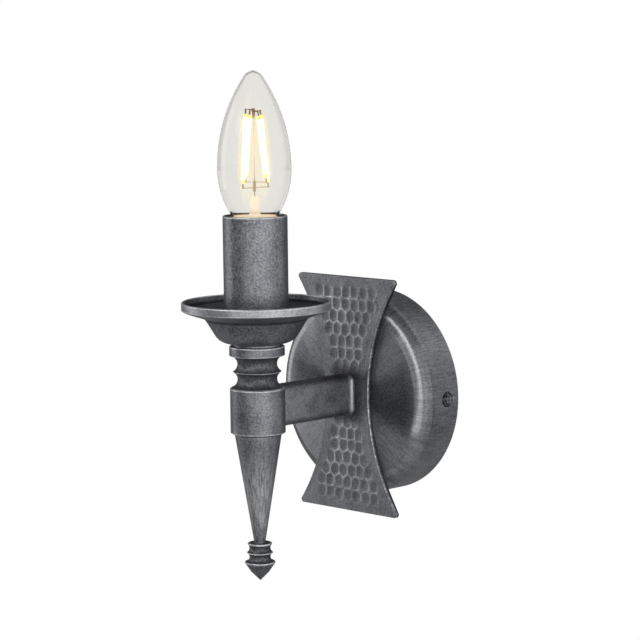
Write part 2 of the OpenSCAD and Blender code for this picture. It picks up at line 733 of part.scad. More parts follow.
// a straight rod between two points of the bulb
module bulb_rod(from, to, d) {
    v = to - from;
    translate([0, axis_y, bulb_bottom] + from) rotate([0, acos(v[2] / norm(v)), atan2(v[1], v[0])])
        cylinder(d = d, h = norm(v));
}

module bulb_filaments() color([1, 0.9, 0.5]) for (i = [0 : 3])
    bulb_rod(filament_feet[i], filament_heads[i], filament_d);

// a support wire up the bulb's axis, with a crimp where the leads to the filaments' feet leave it
// and one where the links to their heads do
stub_l = 2.4;
stub_d = 0.8;
lead_d = 0.4;
crimp_d = 1.4;
module filament_wires() color(zinc) {
    bulb_rod([0, 0, pinch_top - bulb_bottom], [0, 0, 79.6], 0.6);
    for (i = [0 : 3]) {
        foot = filament_feet[i];
        head = filament_heads[i];
        out = unit(foot - head);
        foot_end = foot + stub_l * out;
        head_end = head - stub_l * out;
        bulb_rod(foot_end, foot, stub_d);
        bulb_rod(head, head_end, stub_d);
        bulb_rod([0, 0, foot_end[2] + 0.4], foot_end - 0.4 * out, lead_d);
        bulb_rod([0, 0, head_end[2] - 0.4], head_end + 0.4 * out, lead_d);
    }
    bulb_rod([0, 0, 41.9], [0, 0, 46.9], crimp_d);
    bulb_rod([0, 0, 76.2], [0, 0, 80.4], crimp_d);
}

// ---------------------------------------------------------------- assembly

mounting_bracket();
earth_screw();
earth_washer();
ring_terminal();
terminal_block();
terminal_inserts();
terminal_screws();
block_screw();
wall_cup();
side_screws();
hammered_plate();
arm();
arm_nipple();
arm_washer();
arm_nut();
socket_collar();
stem_rod();
stem_neck();
tie_rod();
taper_cone();
finial();
drip_pan();
pan_washer();
pan_nut();
candle_tube();
holder_base();
holder_skirt();
holder_thread();
centre_contact();
side_contact();
holder_terminals();
holder_screws();
live_wire();
neutral_wire();
earth_wire();
bulb_cap();
cap_insulator();
cap_contact();
bulb_driver();
bulb_glass();
bulb_stem();
filament_wires();
bulb_filaments();
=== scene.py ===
"""Looks of the torch sconce: its finishes, its turned and hammered surfaces, the light and the camera.

The lengths that the classes hold are in millimetres, and become metres when a mesh is made. The frame is the
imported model's own: the wall is the plane Y = 0, the room lies towards -Y, +X is right and +Z is up.
"""

from __future__ import annotations

import functools
import json
import logging
import math
from collections.abc import Callable, Mapping, Sequence
from dataclasses import dataclass
from enum import Enum
from typing import Union

import bmesh
import bpy
import numpy as np
from mathutils import Matrix, Vector

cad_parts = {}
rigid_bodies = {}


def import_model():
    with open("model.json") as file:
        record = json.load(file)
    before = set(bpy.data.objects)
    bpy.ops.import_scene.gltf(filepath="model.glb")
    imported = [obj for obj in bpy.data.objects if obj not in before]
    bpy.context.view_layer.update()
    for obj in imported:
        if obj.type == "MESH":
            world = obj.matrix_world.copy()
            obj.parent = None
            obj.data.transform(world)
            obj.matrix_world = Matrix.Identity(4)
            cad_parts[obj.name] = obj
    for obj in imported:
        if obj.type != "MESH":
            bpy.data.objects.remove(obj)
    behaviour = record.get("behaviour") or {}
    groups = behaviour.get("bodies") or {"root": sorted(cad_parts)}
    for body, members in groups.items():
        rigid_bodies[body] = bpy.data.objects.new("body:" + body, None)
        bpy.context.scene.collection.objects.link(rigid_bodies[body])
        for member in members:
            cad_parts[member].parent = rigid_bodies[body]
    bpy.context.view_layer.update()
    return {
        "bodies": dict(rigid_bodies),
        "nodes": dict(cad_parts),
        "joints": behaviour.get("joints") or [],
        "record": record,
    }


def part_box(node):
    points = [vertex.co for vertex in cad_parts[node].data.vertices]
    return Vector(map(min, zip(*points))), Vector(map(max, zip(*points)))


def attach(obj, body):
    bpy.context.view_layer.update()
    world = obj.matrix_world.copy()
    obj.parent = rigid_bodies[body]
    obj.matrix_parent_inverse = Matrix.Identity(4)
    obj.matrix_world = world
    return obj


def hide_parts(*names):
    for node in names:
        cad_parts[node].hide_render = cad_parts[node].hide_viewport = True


MM = 0.001
ROOT = "root"
BULB = "bulb"
RUB = "rub"
PIT = "pit"

Colour = tuple[float, float, float]
Point = tuple[float, float]
Laid = Callable[[np.ndarray, np.ndarray], np.ndarray]
SocketValue = Union["Socket", float, Sequence[float]]
Inputs = Mapping[Union[int, str], SocketValue]

log = logging.getLogger("torch_sconce")


# ------------------------------------------------------------------ materials as expressions


class Grain(Enum):
    """The way in which the fine scratches of a metal run."""

    ROUND = "round the piece's own axis"
    OUT = "out from the piece's own axis and down its sides"
    ALONG = "along the piece's own Z axis"


def math_node(operation: str, swapped: bool = False) -> Callable[[Socket, SocketValue], Socket]:
    """Makes an operator of Socket that adds a Math node.

    Args:
        operation: what the node does.
        swapped: whether the socket is the second of the node's two values.

    Returns:
        The operator.
    """

    def operator(self: Socket, value: SocketValue) -> Socket:
        """The result of the node for this socket and a value."""
        pair = (value, self) if swapped else (self, value)
        return self.shader.node("ShaderNodeMath", {"operation": operation}, dict(enumerate(pair)))

    return operator


@dataclass(frozen=True)
class Socket:
    """An output in a material's node tree. Arithmetic on it adds Math nodes."""

    shader: Shader
    link: bpy.types.NodeSocket

    __add__ = math_node("ADD")
    __radd__ = math_node("ADD", swapped=True)
    __sub__ = math_node("SUBTRACT")
    __rsub__ = math_node("SUBTRACT", swapped=True)
    __mul__ = math_node("MULTIPLY")
    __rmul__ = math_node("MULTIPLY", swapped=True)
    __rtruediv__ = math_node("DIVIDE", swapped=True)
    __pow__ = math_node("POWER")
    at_most = math_node("MINIMUM")
    at_least = math_node("MAXIMUM")

    def clamped(self) -> Socket:
        """This value kept between 0 and 1."""
        return self.at_least(0.0).at_most(1.0)

    def rising(self, low: float, high: float) -> Socket:
        """A smooth step from 0 at low to 1 at high."""
        inputs = {"Value": self, "From Min": low, "From Max": high}
        return self.shader.node("ShaderNodeMapRange", {"interpolation_type": "SMOOTHSTEP"}, inputs)

    def other(self, output: str) -> Socket:
        """Another output of the same node."""
        return Socket(self.shader, self.link.node.outputs[output])


class Shader:
    """The node tree of one material or of the world, built from expressions."""

    def __init__(self, tree: bpy.types.NodeTree) -> None:
        """Clears the tree that it is given."""
        self.tree = tree
        self.tree.nodes.clear()

    def node(
        self,
        kind: str,
        settings: Mapping[str, object] | None = None,
        inputs: Inputs | None = None,
        output: int | str = 0,
    ) -> Socket:
        """Adds a node of any type.

        Args:
            kind: the node's type, such as ShaderNodeMath.
            settings: its properties, set first.
            inputs: the value or link of each socket, by name or number. A colour gets its alpha here.
            output: which output to return.

        Returns:
            That output.
        """
        made = self.tree.nodes.new(kind)
        for key, value in (settings or {}).items():
            setattr(made, key, value)
        for key, value in (inputs or {}).items():
            socket = made.inputs[key]
            if isinstance(value, Socket):
                self.tree.links.new(value.link, socket)
            else:
                socket.default_value = (*value, 1.0) if socket.type == "RGBA" else value
        return Socket(self, made.outputs[output])

    def mix(self, factor: SocketValue, first: SocketValue, second: SocketValue) -> Socket:
        """Two colours mixed by a factor."""
        return self.node("ShaderNodeMix", {"data_type": "RGBA"}, {0: factor, 6: first, 7: second}, output=2)

    def scaled(self, vector: Socket, by: Sequence[float]) -> Socket:
        """A vector with each of its components multiplied."""
        return self.node("ShaderNodeVectorMath", {"operation": "MULTIPLY"}, {0: vector, 1: by})

    def place(self) -> Socket:
        """The point on the piece, in millimetres in the piece's own frame."""
        return self.scaled(self.node("ShaderNodeTexCoord", output="Object"), (1 / MM,) * 3)

    def axes(self, vector: Socket) -> tuple[Socket, Socket, Socket]:
        """The three components of a vector."""
        x = self.node("ShaderNodeSeparateXYZ", inputs={0: vector})
        return x, x.other("Y"), x.other("Z")

    def noise(self, vector: Socket, scale: float, detail: float = 3.0, rough: float = 0.5) -> Socket:
        """Plain noise between about 0 and 1.

        Args:
            vector: the point, in millimetres.
            scale: how many lumps there are to a millimetre.
            detail: how many finer layers are added.
            rough: how strong each finer layer is.

        Returns:
            The noise's value.
        """
        inputs = {"Vector": vector, "Scale": scale, "Detail": detail, "Roughness": rough}
        return self.node("ShaderNodeTexNoise", inputs=inputs)

    def drawn(self, x: Socket, y: Socket, z: Socket) -> Socket:
        """Noise at a point whose three components are already to scale."""
        return self.noise(self.node("ShaderNodeCombineXYZ", inputs={0: x, 1: y, 2: z}), 1.0)

    def mark(self, name: str) -> Socket:
        """A value that the mesh stores at its points, 0 where it stores none."""
        return self.node("ShaderNodeAttribute", {"attribute_name": name}, output="Fac")

    def bump(self, height: Socket, depth: float) -> Socket:
        """A normal bent by a height map, whose value of 1 stands for a depth in millimetres."""
        return self.node("ShaderNodeBump", inputs={"Height": height, "Distance": depth * MM, "Strength": 1.0})

    def end(self, shader: Socket, kind: str = "ShaderNodeOutputMaterial") -> None:
        """Ends the tree in a shader, by the output node of a material or of the world."""
        self.tree.links.new(shader.link, self.tree.nodes.new(kind).inputs["Surface"])


def new_material(name: str) -> tuple[bpy.types.Material, Shader]:
    """Makes an empty material.

    Args:
        name: its name.

    Returns:
        The material and the shader that fills it.
    """
    material = bpy.data.materials.new(name)
    material.use_nodes = True
    return material, Shader(material.node_tree)


# ------------------------------------------------------------------ finishes


@dataclass(frozen=True)
class Finish:
    """A finish in one Principled shader."""

    name: str

    def inputs(self, shader: Shader) -> Inputs:
        """The inputs of the Principled shader, which each kind of finish works out."""
        raise NotImplementedError

    @functools.cache
    def material(self) -> bpy.types.Material:
        """The material, built once for all the pieces that share the finish."""
        made, shader = new_material(self.name)
        shader.end(shader.node("ShaderNodeBsdfPrincipled", inputs=self.inputs(shader)))
        return made


@dataclass(frozen=True)
class Pewter(Finish):
    """Dark pewter coating, wiped bright on what stands out and left black in what lies deep.

    The mesh says where its edges and ridges are with the value RUB, and where its recesses are with PIT.
    On the cup, the arm and the plate, RUB also carries a painted highlight and PIT a painted shade.
    """

    grain: Grain = Grain.ROUND
    dark: Colour = (0.072, 0.077, 0.088)
    light: Colour = (0.269, 0.274, 0.286)
    # rubbed also colours painted highlights, and sunk painted shade
    rubbed: Colour = (0.62, 0.62, 0.635)
    sunk: Colour = (0.02, 0.021, 0.024)
    speckle: float = 0.7
    streaks: float = 0.25
    clouds: float = 0.25
    tone: float = 0.4
    grit_per_mm: float = 1.15
    clouds_per_mm: float = 0.12
    patches_per_mm: float = 0.3
    metallic: float = 0.88
    roughness: float = 0.44
    anisotropy: float = 0.0
    grit_depth: float = 0.03
    rub_from: float = 0.0
    rub_rough: float = -0.05
    rub_streaks: float = 0.2
    patchy: float = 0.0
    streak_w: float = 0.4
    streak_l: float = 6.0

    def inputs(self, shader: Shader) -> Inputs:
        """The coat with its grit, streaks and clouds, what is wiped of it and what is left black."""
        where = shader.place()
        grit = shader.noise(where, self.grit_per_mm, rough=0.7).rising(0.3, 0.7)
        cloud = shader.noise(where, self.clouds_per_mm).rising(0.3, 0.7)
        streak = self._streaks(shader, where).rising(0.3, 0.7)
        tone = self.tone + self.speckle * (grit - 0.5) + self.streaks * (streak - 0.5)
        tone = tone + self.clouds * (cloud - 0.5)
        patches = shader.noise(where, self.patches_per_mm, detail=2.0).rising(0.35, 0.65)
        even = 1.0 - 0.7 * self.rub_streaks
        worn = 0.45 * even + 0.55 * even * grit + self.rub_streaks * streak
        worn = worn * (1.0 - self.patchy + self.patchy * patches)
        wiped = (shader.mark(RUB).rising(self.rub_from, 1.0) * worn).clamped()
        deep = (shader.mark(PIT) * (1.25 - 0.5 * grit)).clamped()
        coat = shader.mix(wiped, shader.mix(tone.clamped(), self.dark, self.light), self.rubbed)
        rough = self.roughness + 0.12 * (grit - 0.5) + self.rub_rough * wiped + 0.15 * deep
        return {
            "Base Color": shader.mix(deep, coat, self.sunk),
            "Metallic": self.metallic,
            "Roughness": rough.clamped(),
            "Anisotropic": self.anisotropy,
            "Normal": shader.bump(0.6 * grit + 0.4 * streak, self.grit_depth),
        }

    def _streaks(self, shader: Shader, where: Socket) -> Socket:
        """Fine scratches along the grain, between 0 and 1."""
        x, y, z = shader.axes(where)
        if self.grain is Grain.ALONG:
            across, along = 1 / self.streak_w, 1 / self.streak_l
            return shader.drawn(across * x, across * y, along * z)
        radius = (x * x + y * y) ** 0.5
        kept = radius.at_least(0.5)
        if self.grain is Grain.ROUND:
            turn = 5.0 / kept
            return shader.drawn(x * turn, y * turn, 3.2 * (z + radius))
        turn = 85.0 / kept
        return shader.drawn(x * turn, y * turn, 0.14 * (z + kept))


@dataclass(frozen=True)
class PlainMetal(Finish):
    """Bare or plated metal of the inner fittings, with fine handling marks."""

    colour: Colour
    stained: Colour
    roughness: float = 0.32

    def inputs(self, shader: Shader) -> Inputs:
        """Metal with stains and scratches."""
        where = shader.place()
        stain = shader.noise(where, 0.35, detail=4.0).rising(0.4, 0.7)
        scratches = shader.noise(shader.scaled(where, (0.3, 3.0, 3.0)), 1.0)
        return {
            "Base Color": shader.mix(0.6 * stain, self.colour, self.stained),
            "Metallic": 1.0,
            "Roughness": self.roughness + 0.15 * stain + 0.1 * (scratches - 0.5),
            "Normal": shader.bump(scratches, 0.01),
        }


@dataclass(frozen=True)
class Moulded(Finish):
    """A moulded plastic, glazed or insulating material with a slightly uneven skin."""

    colour: Colour
    worn: Colour
    roughness: float = 0.4
    coat: float = 0.0

    def inputs(self, shader: Shader) -> Inputs:
        """Plastic with a little dust and an uneven skin."""
        where = shader.place()
        dust = shader.noise(where, 0.2, detail=4.0).rising(0.45, 0.75)
        return {
            "Base Color": shader.mix(0.5 * dust, self.colour, self.worn),
            "Roughness": self.roughness + 0.12 * dust,
            "Coat Weight": self.coat,
            "Normal": shader.bump(shader.noise(where, 1.1, detail=2.0), 0.012),
        }


@dataclass(frozen=True)
class ClearGlass(Finish):
    """The thin clear glass of the bulb, with weak reflections."""

    colour: Colour = (0.89, 0.88, 0.855)
    shine: Colour = (0.3, 0.3, 0.3)

    def inputs(self, shader: Shader) -> Inputs:
        """Plain glass."""
        plain = {"Roughness": 0.0, "IOR": 1.3, "Transmission Weight": 1.0}
        return {"Base Color": self.colour, "Specular Tint": self.shine, **plain}


@dataclass(frozen=True)
class LitGlass(Finish):
    """The glass mount in the bulb, milky, with a painted glow for the light that it catches."""

    colour: Colour = (1.0, 0.94, 0.85)
    painted_glow: Colour = (1.0, 0.93, 0.8)
    copper: Colour = (0.9, 0.74, 0.55)

    def inputs(self, shader: Shader) -> Inputs:
        """Glass with an uneven painted glow."""
        waves = shader.noise(shader.place(), 0.5, detail=2.0)
        return {
            "Base Color": self.colour,
            "Roughness": 0.25,
            "IOR": 1.3,
            "Transmission Weight": 0.7,
            "Emission Color": shader.mix(waves, self.painted_glow, self.copper),
            "Emission Strength": 0.24,
        }


@dataclass(frozen=True)
class Glow(Finish):
    """A glowing phosphor coating, white-hot along the middle and yellow at the ends.

    The mesh says how near a point is to an end with the value RUB.
    """

    unlit: Colour = (0.95, 0.75, 0.2)
    hot: Colour = (1.0, 0.93, 0.74)
    end: Colour = (1.0, 0.84, 0.14)
    strength: float = 9.0
    end_strength: float = 1.3

    def inputs(self, shader: Shader) -> Inputs:
        """Light of one colour along the middle and of another at the ends."""
        hot = tuple(self.strength * part for part in self.hot)
        end = tuple(self.end_strength * part for part in self.end)
        light = {"Emission Color": shader.mix(shader.mark(RUB), hot, end), "Emission Strength": 1.0}
        return {"Base Color": self.unlit, "Roughness": 0.5, **light}


@dataclass(frozen=True)
class GlowShell(Finish):
    """A see-through shell of painted glow round a lit filament. The value RUB of the mesh thins it."""

    colour: Colour
    density: float

    def inputs(self, shader: Shader) -> Inputs:
        """Faint light with nothing solid in it."""
        uneven = shader.noise(shader.place(), 0.4, detail=1.0)
        return {
            "Base Color": (0.0, 0.0, 0.0),
            "Roughness": 1.0,
            "Specular IOR Level": 0.0,
            "Emission Color": shader.mix(uneven, self.colour, tuple(0.94 * part for part in self.colour)),
            "Emission Strength": 1.0,
            "Alpha": self.density * (1.0 - shader.mark(RUB)),
        }


# ------------------------------------------------------------------ meshes


def smooth(low: float, high: float, value: np.ndarray) -> np.ndarray:
    """A smooth step of an array's values, from 0 at low to 1 at high."""
    share = np.clip((value - low) / (high - low), 0, 1)
    return share * share * (3 - 2 * share)


def softened(padded: np.ndarray) -> np.ndarray:
    """Each row's mean with its neighbours, where the first and last rows are neighbours only."""
    return 0.25 * padded[:-2] + 0.5 * padded[1:-1] + 0.25 * padded[2:]


def arc(centre: Point, radius: float, start: float, end: float, steps: int = 24) -> list[Point]:
    """Points along an arc.

    Args:
        centre: the arc's centre, as radius and height.
        radius: the arc's radius.
        start: the direction of its first point, in degrees.
        end: the direction of its last point, in degrees.
        steps: how many equal steps it takes.

    Returns:
        The points, both ends included.
    """
    turns = [math.radians(start + (end - start) * i / steps) for i in range(steps + 1)]
    return [(centre[0] + radius * math.cos(turn), centre[1] + radius * math.sin(turn)) for turn in turns]


def ring_faces(lower: Sequence[int], upper: Sequence[int]) -> list[list[int]]:
    """The faces between two rings of points, one of which may be a single point.

    Args:
        lower: the point numbers of the first ring.
        upper: those of the second.

    Returns:
        Lists of point numbers.
    """
    count = max(len(lower), len(upper))
    faces = []
    for k in range(count):
        after = (k + 1) % count
        corners = [lower[k % len(lower)], lower[after % len(lower)]]
        corners += [upper[after % len(upper)], upper[k % len(upper)]]
        faces.append(list(dict.fromkeys(corners)))
    return faces


def finished_mesh(
    name: str,
    points: Sequence[Sequence[float]],
    faces: Sequence[Sequence[int]],
    marks: Sequence[Sequence[float]],
    sharp_above: float = 40.0,
) -> bpy.types.Mesh:
    """Makes a mesh with outward faces and smooth shading between its sharp edges.

    Args:
        name: the mesh's name.
        points: its points, in metres.
        faces: lists of point numbers.
        marks: the values RUB and PIT of each point.
        sharp_above: the angle above which an edge stays sharp, in degrees.

    Returns:
        The mesh.
    """
    mesh = bpy.data.meshes.new(name)
    mesh.from_pydata([tuple(point) for point in points], [], [tuple(face) for face in faces])
    for key, column in zip((RUB, PIT), np.array(marks, np.float32).T):
        mesh.attributes.new(key, "FLOAT", "POINT").data.foreach_set("value", column.copy())
    work = bmesh.new()
    work.from_mesh(mesh)
    bmesh.ops.recalc_face_normals(work, faces=work.faces)
    work.to_mesh(mesh)
    work.free()
    mesh.shade_smooth()
    mesh.set_sharp_from_angle(angle=math.radians(sharp_above))
    return mesh


@dataclass(frozen=True)
class Turned:
    """A piece turned on a lathe: its outline in radius and height, with softly broken edges.

    An outline whose first and last points lie on the axis is open there. Any other one is a closed loop.
    The fields wiped and darkened say how bright or dark a point is beyond that, from its radius and height.
    The field gathered says how much of both is found at the two sides only. The bright places there lie a few
    degrees above the dark ones (lean), and each fade is given by the cosines of where it ends and begins.
    """

    outline: Sequence[Point]
    step: float = 0.17
    softness: int = 2
    spread: int = 2
    rub: float = 1.0
    pit: float = 1.0
    sides: int = 144
    wiped: Laid | None = None
    darkened: Laid | None = None
    gathered: float = 0.0
    lean: float = 12.0
    bright_fade: Point = (0.79, 0.906)
    dark_fade: Point = (0.84, 0.975)

    def _open(self) -> bool:
        """Whether the outline ends on the axis."""
        return abs(self.outline[0][0]) < 1e-6 and abs(self.outline[-1][0]) < 1e-6

    def _sampled(self) -> np.ndarray:
        """The outline in short equal steps, anticlockwise."""
        points = np.array(self.outline, float)
        if not self._open():
            points = np.vstack([points, points[:1]])
        x, y = points.T
        if np.sum(x[:-1] * y[1:] - x[1:] * y[:-1]) < 0:
            points = points[::-1]
        lengths = np.hypot(*np.diff(points, axis=0).T)
        along = np.concatenate([[0.0], np.cumsum(lengths)])
        at = np.linspace(0.0, along[-1], max(8, int(along[-1] / self.step)) + 1)
        return np.column_stack([np.interp(at, along, column) for column in points.T])

    def _padded(self, values: np.ndarray, mirrored: bool) -> np.ndarray:
        """The values with one neighbour more at each end: over the axis, or round the loop."""
        if not self._open():
            return np.vstack([values[-2:-1], values, values[1:2]])
        sign = np.array([-1.0, 1.0]) if mirrored else np.ones(values.shape[1])
        return np.vstack([values[1:2] * sign, values, values[-2:-1] * sign])

    def profile(self) -> np.ndarray:
        """The outline with broken edges, in few points.

        Returns:
            Rows of radius, height, rub, pit, wiped and darkened. A loop doesn't repeat its first point.
        """
        points = self._sampled()
        for _ in range(self.softness):
            points = softened(self._padded(points, mirrored=True))
        padded = self._padded(points, mirrored=True)
        (ax, ay), (bx, by) = (padded[1:-1] - padded[:-2]).T, (padded[2:] - padded[1:-1]).T
        bend = np.arctan2(ax * by - ay * bx, ax * bx + ay * by) / self.step
        marks = np.column_stack([np.clip(bend - 0.25, 0, 1.2) / 1.2, np.clip(-bend - 0.1, 0, 0.45) / 0.45])
        for _ in range(self.spread):
            padded = self._padded(marks, mirrored=False)
            marks = 0.5 * np.maximum(marks, 0.93 * softened(padded)) + 0.25 * (padded[:-2] + padded[2:])
        marks = np.clip(1.5 * marks, 0, 1) * np.array([self.rub, self.pit])
        fields = (self.wiped, self.darkened)
        laid = [say(*points.T) if say else np.zeros(len(points)) for say in fields]
        kept = self._thinned(np.column_stack([points, marks, *laid]))
        return kept if self._open() else kept[:-1]

    @staticmethod
    def _thinned(rows: np.ndarray, slack: float = 0.006, longest: float = 5.0) -> np.ndarray:
        """Leaves out points that lie on a straight run between their neighbours, marks included."""
        scaled = rows * np.array([1.0, 1.0, 0.12, 0.12, 0.12, 0.12])
        keep = np.zeros(len(rows), bool)
        keep[[0, -1]] = True
        whole = (0, len(rows) - 1)
        stack = [whole]
        while stack:
            first, last = stack.pop()
            if last - first < 2:
                continue
            span = scaled[last] - scaled[first]
            share = np.linspace(0, 1, last - first + 1)[1:-1]
            off = np.abs(scaled[first + 1 : last] - scaled[first] - share[:, None] * span).max(axis=1)
            if off.max() > slack or np.hypot(span[0], span[1]) > longest or (first, last) == whole:
                middle = first + 1 + (int(off.argmax()) if off.max() > slack else (last - first) // 2 - 1)
                keep[middle] = True
                stack += [(first, middle), (middle, last)]
        return rows[keep]

    def _shares(self, c: float, s: float) -> Point:
        """How much of the bright and of the dark is found in the direction with this cosine and sine."""
        lean = Vector((math.cos(math.radians(self.lean)), math.sin(math.radians(self.lean))))
        fades = smooth(*self.bright_fade, lean.x * abs(c) + lean.y * s), smooth(*self.dark_fade, abs(c))
        return tuple(1.0 - self.gathered * (1.0 - float(fade)) for fade in fades)

    def mesh(self, name: str) -> bpy.types.Mesh:
        """Turns the outline about the Z axis.

        Args:
            name: the mesh's name.

        Returns:
            A closed mesh in metres, with the values RUB and PIT at its points.
        """
        turns = np.linspace(0, math.tau, self.sides, endpoint=False)
        spokes = [(math.cos(turn), math.sin(turn)) for turn in turns]
        shares = [self._shares(*spoke) for spoke in spokes]
        points, marks, rings = [], [], []
        for radius, height, rub, pit, wiped, darkened in self.profile():
            count = 1 if radius < 1e-4 else self.sides
            rings.append(list(range(len(points), len(points) + count)))
            points += [(radius * MM * c, radius * MM * s, height * MM) for c, s in spokes[:count]]
            marks += [(max(rub, wiped * light), max(pit, darkened * dark)) for light, dark in shares[:count]]
        following = rings[1:] if self._open() else rings[1:] + rings[:1]
        faces = [face for pair in zip(rings, following) for face in ring_faces(*pair)]
        return finished_mesh(name, points, faces, marks)


# ------------------------------------------------------------------ pieces


@dataclass(frozen=True)
class Span:
    """The box of a CAD node, in millimetres."""

    low: Vector
    high: Vector

    @classmethod
    def of(cls, node: str) -> Span:
        """The box of a node at rest."""
        low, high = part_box(node)
        return cls(low / MM, high / MM)

    @property
    def radius(self) -> float:
        """Half its width."""
        return (self.high.x - self.low.x) / 2

    @property
    def half_height(self) -> float:
        """Half its height."""
        return (self.high.z - self.low.z) / 2

    @property
    def middle_y(self) -> float:
        """The middle of its depth."""
        return (self.low.y + self.high.y) / 2

    @property
    def axis(self) -> Matrix:
        """The frame of a piece that is turned about the upright axis in its middle."""
        return Matrix.Translation((0.0, self.middle_y * MM, 0.0))


def linked(name: str, data: bpy.types.ID) -> bpy.types.Object:
    """A new object in the scene, for a mesh, a lamp or a camera."""
    made = bpy.data.objects.new(name, data)
    bpy.context.scene.collection.objects.link(made)
    return made


def place_piece(
    mesh: bpy.types.Mesh,
    finish: Finish,
    replaces: Sequence[str] = (),
    matrix: Matrix | None = None,
    body: str = ROOT,
) -> bpy.types.Object:
    """Puts a piece into the scene, under its mesh's name.

    Args:
        mesh: its mesh, in metres.
        finish: its finish.
        replaces: the CAD nodes that it stands for.
        matrix: where its own frame stands, or None for the model's frame.
        body: the CAD body that it rides on.

    Returns:
        The piece.
    """
    piece = linked(mesh.name, mesh)
    mesh.materials.append(finish.material())
    if matrix is not None:
        piece.matrix_world = matrix
    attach(piece, body)
    if replaces:
        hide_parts(*replaces)
    log.info("%s: %d points on %s", piece.name, len(mesh.vertices), body)
    return piece


def cut_round(piece: bpy.types.Object, radius: float, length: float, matrix: Matrix) -> None:
    """Cuts a round hole through a piece.

    Args:
        piece: the piece, which is changed.
        radius: the hole's radius.
        length: the cutter's length, along its own Z axis.
        matrix: where the cutter stands.
    """
    work = bmesh.new()
    size = {"radius1": radius * MM, "radius2": radius * MM, "depth": length * MM}
    bmesh.ops.create_cone(work, cap_ends=True, segments=48, **size)
    tool_mesh = bpy.data.meshes.new("cutter")
    work.to_mesh(tool_mesh)
    work.free()
    tool = linked("cutter", tool_mesh)
    tool.matrix_world = matrix
    modifier = piece.modifiers.new("hole", "BOOLEAN")
    modifier.operation, modifier.solver, modifier.object = "DIFFERENCE", "EXACT", tool
    bpy.context.view_layer.update()
    graph = bpy.context.evaluated_depsgraph_get()
    cut = bpy.data.meshes.new_from_object(piece.evaluated_get(graph), depsgraph=graph)
    piece.modifiers.clear()
    old, piece.data = piece.data, cut
    bpy.data.meshes.remove(old)
    bpy.data.objects.remove(tool)
    bpy.data.meshes.remove(tool_mesh)
    cut.set_sharp_from_angle(angle=math.radians(40.0))


@dataclass(frozen=True)
class WallCup:
    """The spun cup against the wall, brushed out from its own axis, with a slightly domed front."""

    shoulder_r: float = 7.4
    dome_r: float = 800.0
    sheet_t: float = 1.0
    seat_r: float = 12.0
    hole_r: float = 4.2
    screw_y: float = 8.0
    screw_hole_r: float = 3.8
    # The bright band round the shoulder is a painted highlight, with some rub.
    shoulder_rub_and_highlight: float = 0.94
    wall_line: float = 0.5
    front_shade: float = 0.6
    front_shade_r: float = 36.0
    side_shade: float = 0.4
    finish: Pewter = Pewter(
        "pewter_spun", grain=Grain.OUT, roughness=0.34, rub_rough=0.3, anisotropy=0.92, speckle=0.6,
        streaks=0.5, clouds=0.2, tone=0.68, rub_streaks=0.75,
    )

    def build(self) -> None:
        """Turns the cup and cuts the holes of its two side screws."""
        span = Span.of("wall_cup")
        radius, depth = span.radius, -span.low.y
        outline = self._shell(radius, depth, 0.0) + self._shell(radius, depth, self.sheet_t)[::-1]
        # gathered puts the painted highlight and painted shade mostly at the cup's two sides, the highlight a
        # little higher.
        turned = Turned(outline, sides=216, pit=0.5, wiped=self._wiped, darkened=self._shaded, gathered=0.85)
        frame = Matrix.Rotation(math.radians(90), 4, "X")
        cup = place_piece(turned.mesh("wall_cup_spun"), self.finish, ["wall_cup"], frame)
        for side in (-1, 1):
            place = Matrix.Translation((side * radius * MM, -self.screw_y * MM, 0.0))
            cut_round(cup, self.screw_hole_r, 6.0, place @ Matrix.Rotation(math.radians(90), 4, "Y"))

    def _shell(self, radius: float, depth: float, inset: float) -> list[Point]:
        """One face of the sheet, from its rim to the hole in the middle."""
        centre_r = radius - self.shoulder_r
        rise = math.sqrt((self.dome_r - self.shoulder_r) ** 2 - centre_r**2)
        base = depth - math.sqrt(self.dome_r**2 - self.seat_r**2)
        edge = 90.0 - math.degrees(math.atan2(centre_r, rise))
        seat = 90.0 - math.degrees(math.asin(self.seat_r / (self.dome_r - inset)))
        points = [(radius - inset, 0.0)]
        points += arc((centre_r, base + rise), self.shoulder_r - inset, 0.0, edge, 20)
        points += arc((0.0, base), self.dome_r - inset, edge + 0.2, seat, 12)
        return points + [(self.hole_r, depth - inset)]

    def _wiped(self, radius: np.ndarray, height: np.ndarray) -> np.ndarray:
        """Painted highlight with some rub round the shoulder, and a rubbed line at the wall."""
        start, top = radius.max() - self.shoulder_r, height.max()
        shoulder_rub_and_highlight = smooth(start - 0.9, start + 0.6, radius) * smooth(top - 3.3, top - 1.3, height)
        return np.maximum(self.shoulder_rub_and_highlight * shoulder_rub_and_highlight, self.wall_line * (1 - smooth(0.3, 0.8, height)))

    def _shaded(self, radius: np.ndarray, height: np.ndarray) -> np.ndarray:
        """Painted shade on the sheet: round its middle near the arm, and on its side."""
        start, top = radius.max() - self.shoulder_r, height.max()
        middle = 1 - smooth(self.front_shade_r, start + 2.0, radius)
        front = self.front_shade * middle * (height > top - 4.0)
        return np.maximum(front, self.side_shade * (1 - smooth(top - 4.8, top - 2.4, height)))


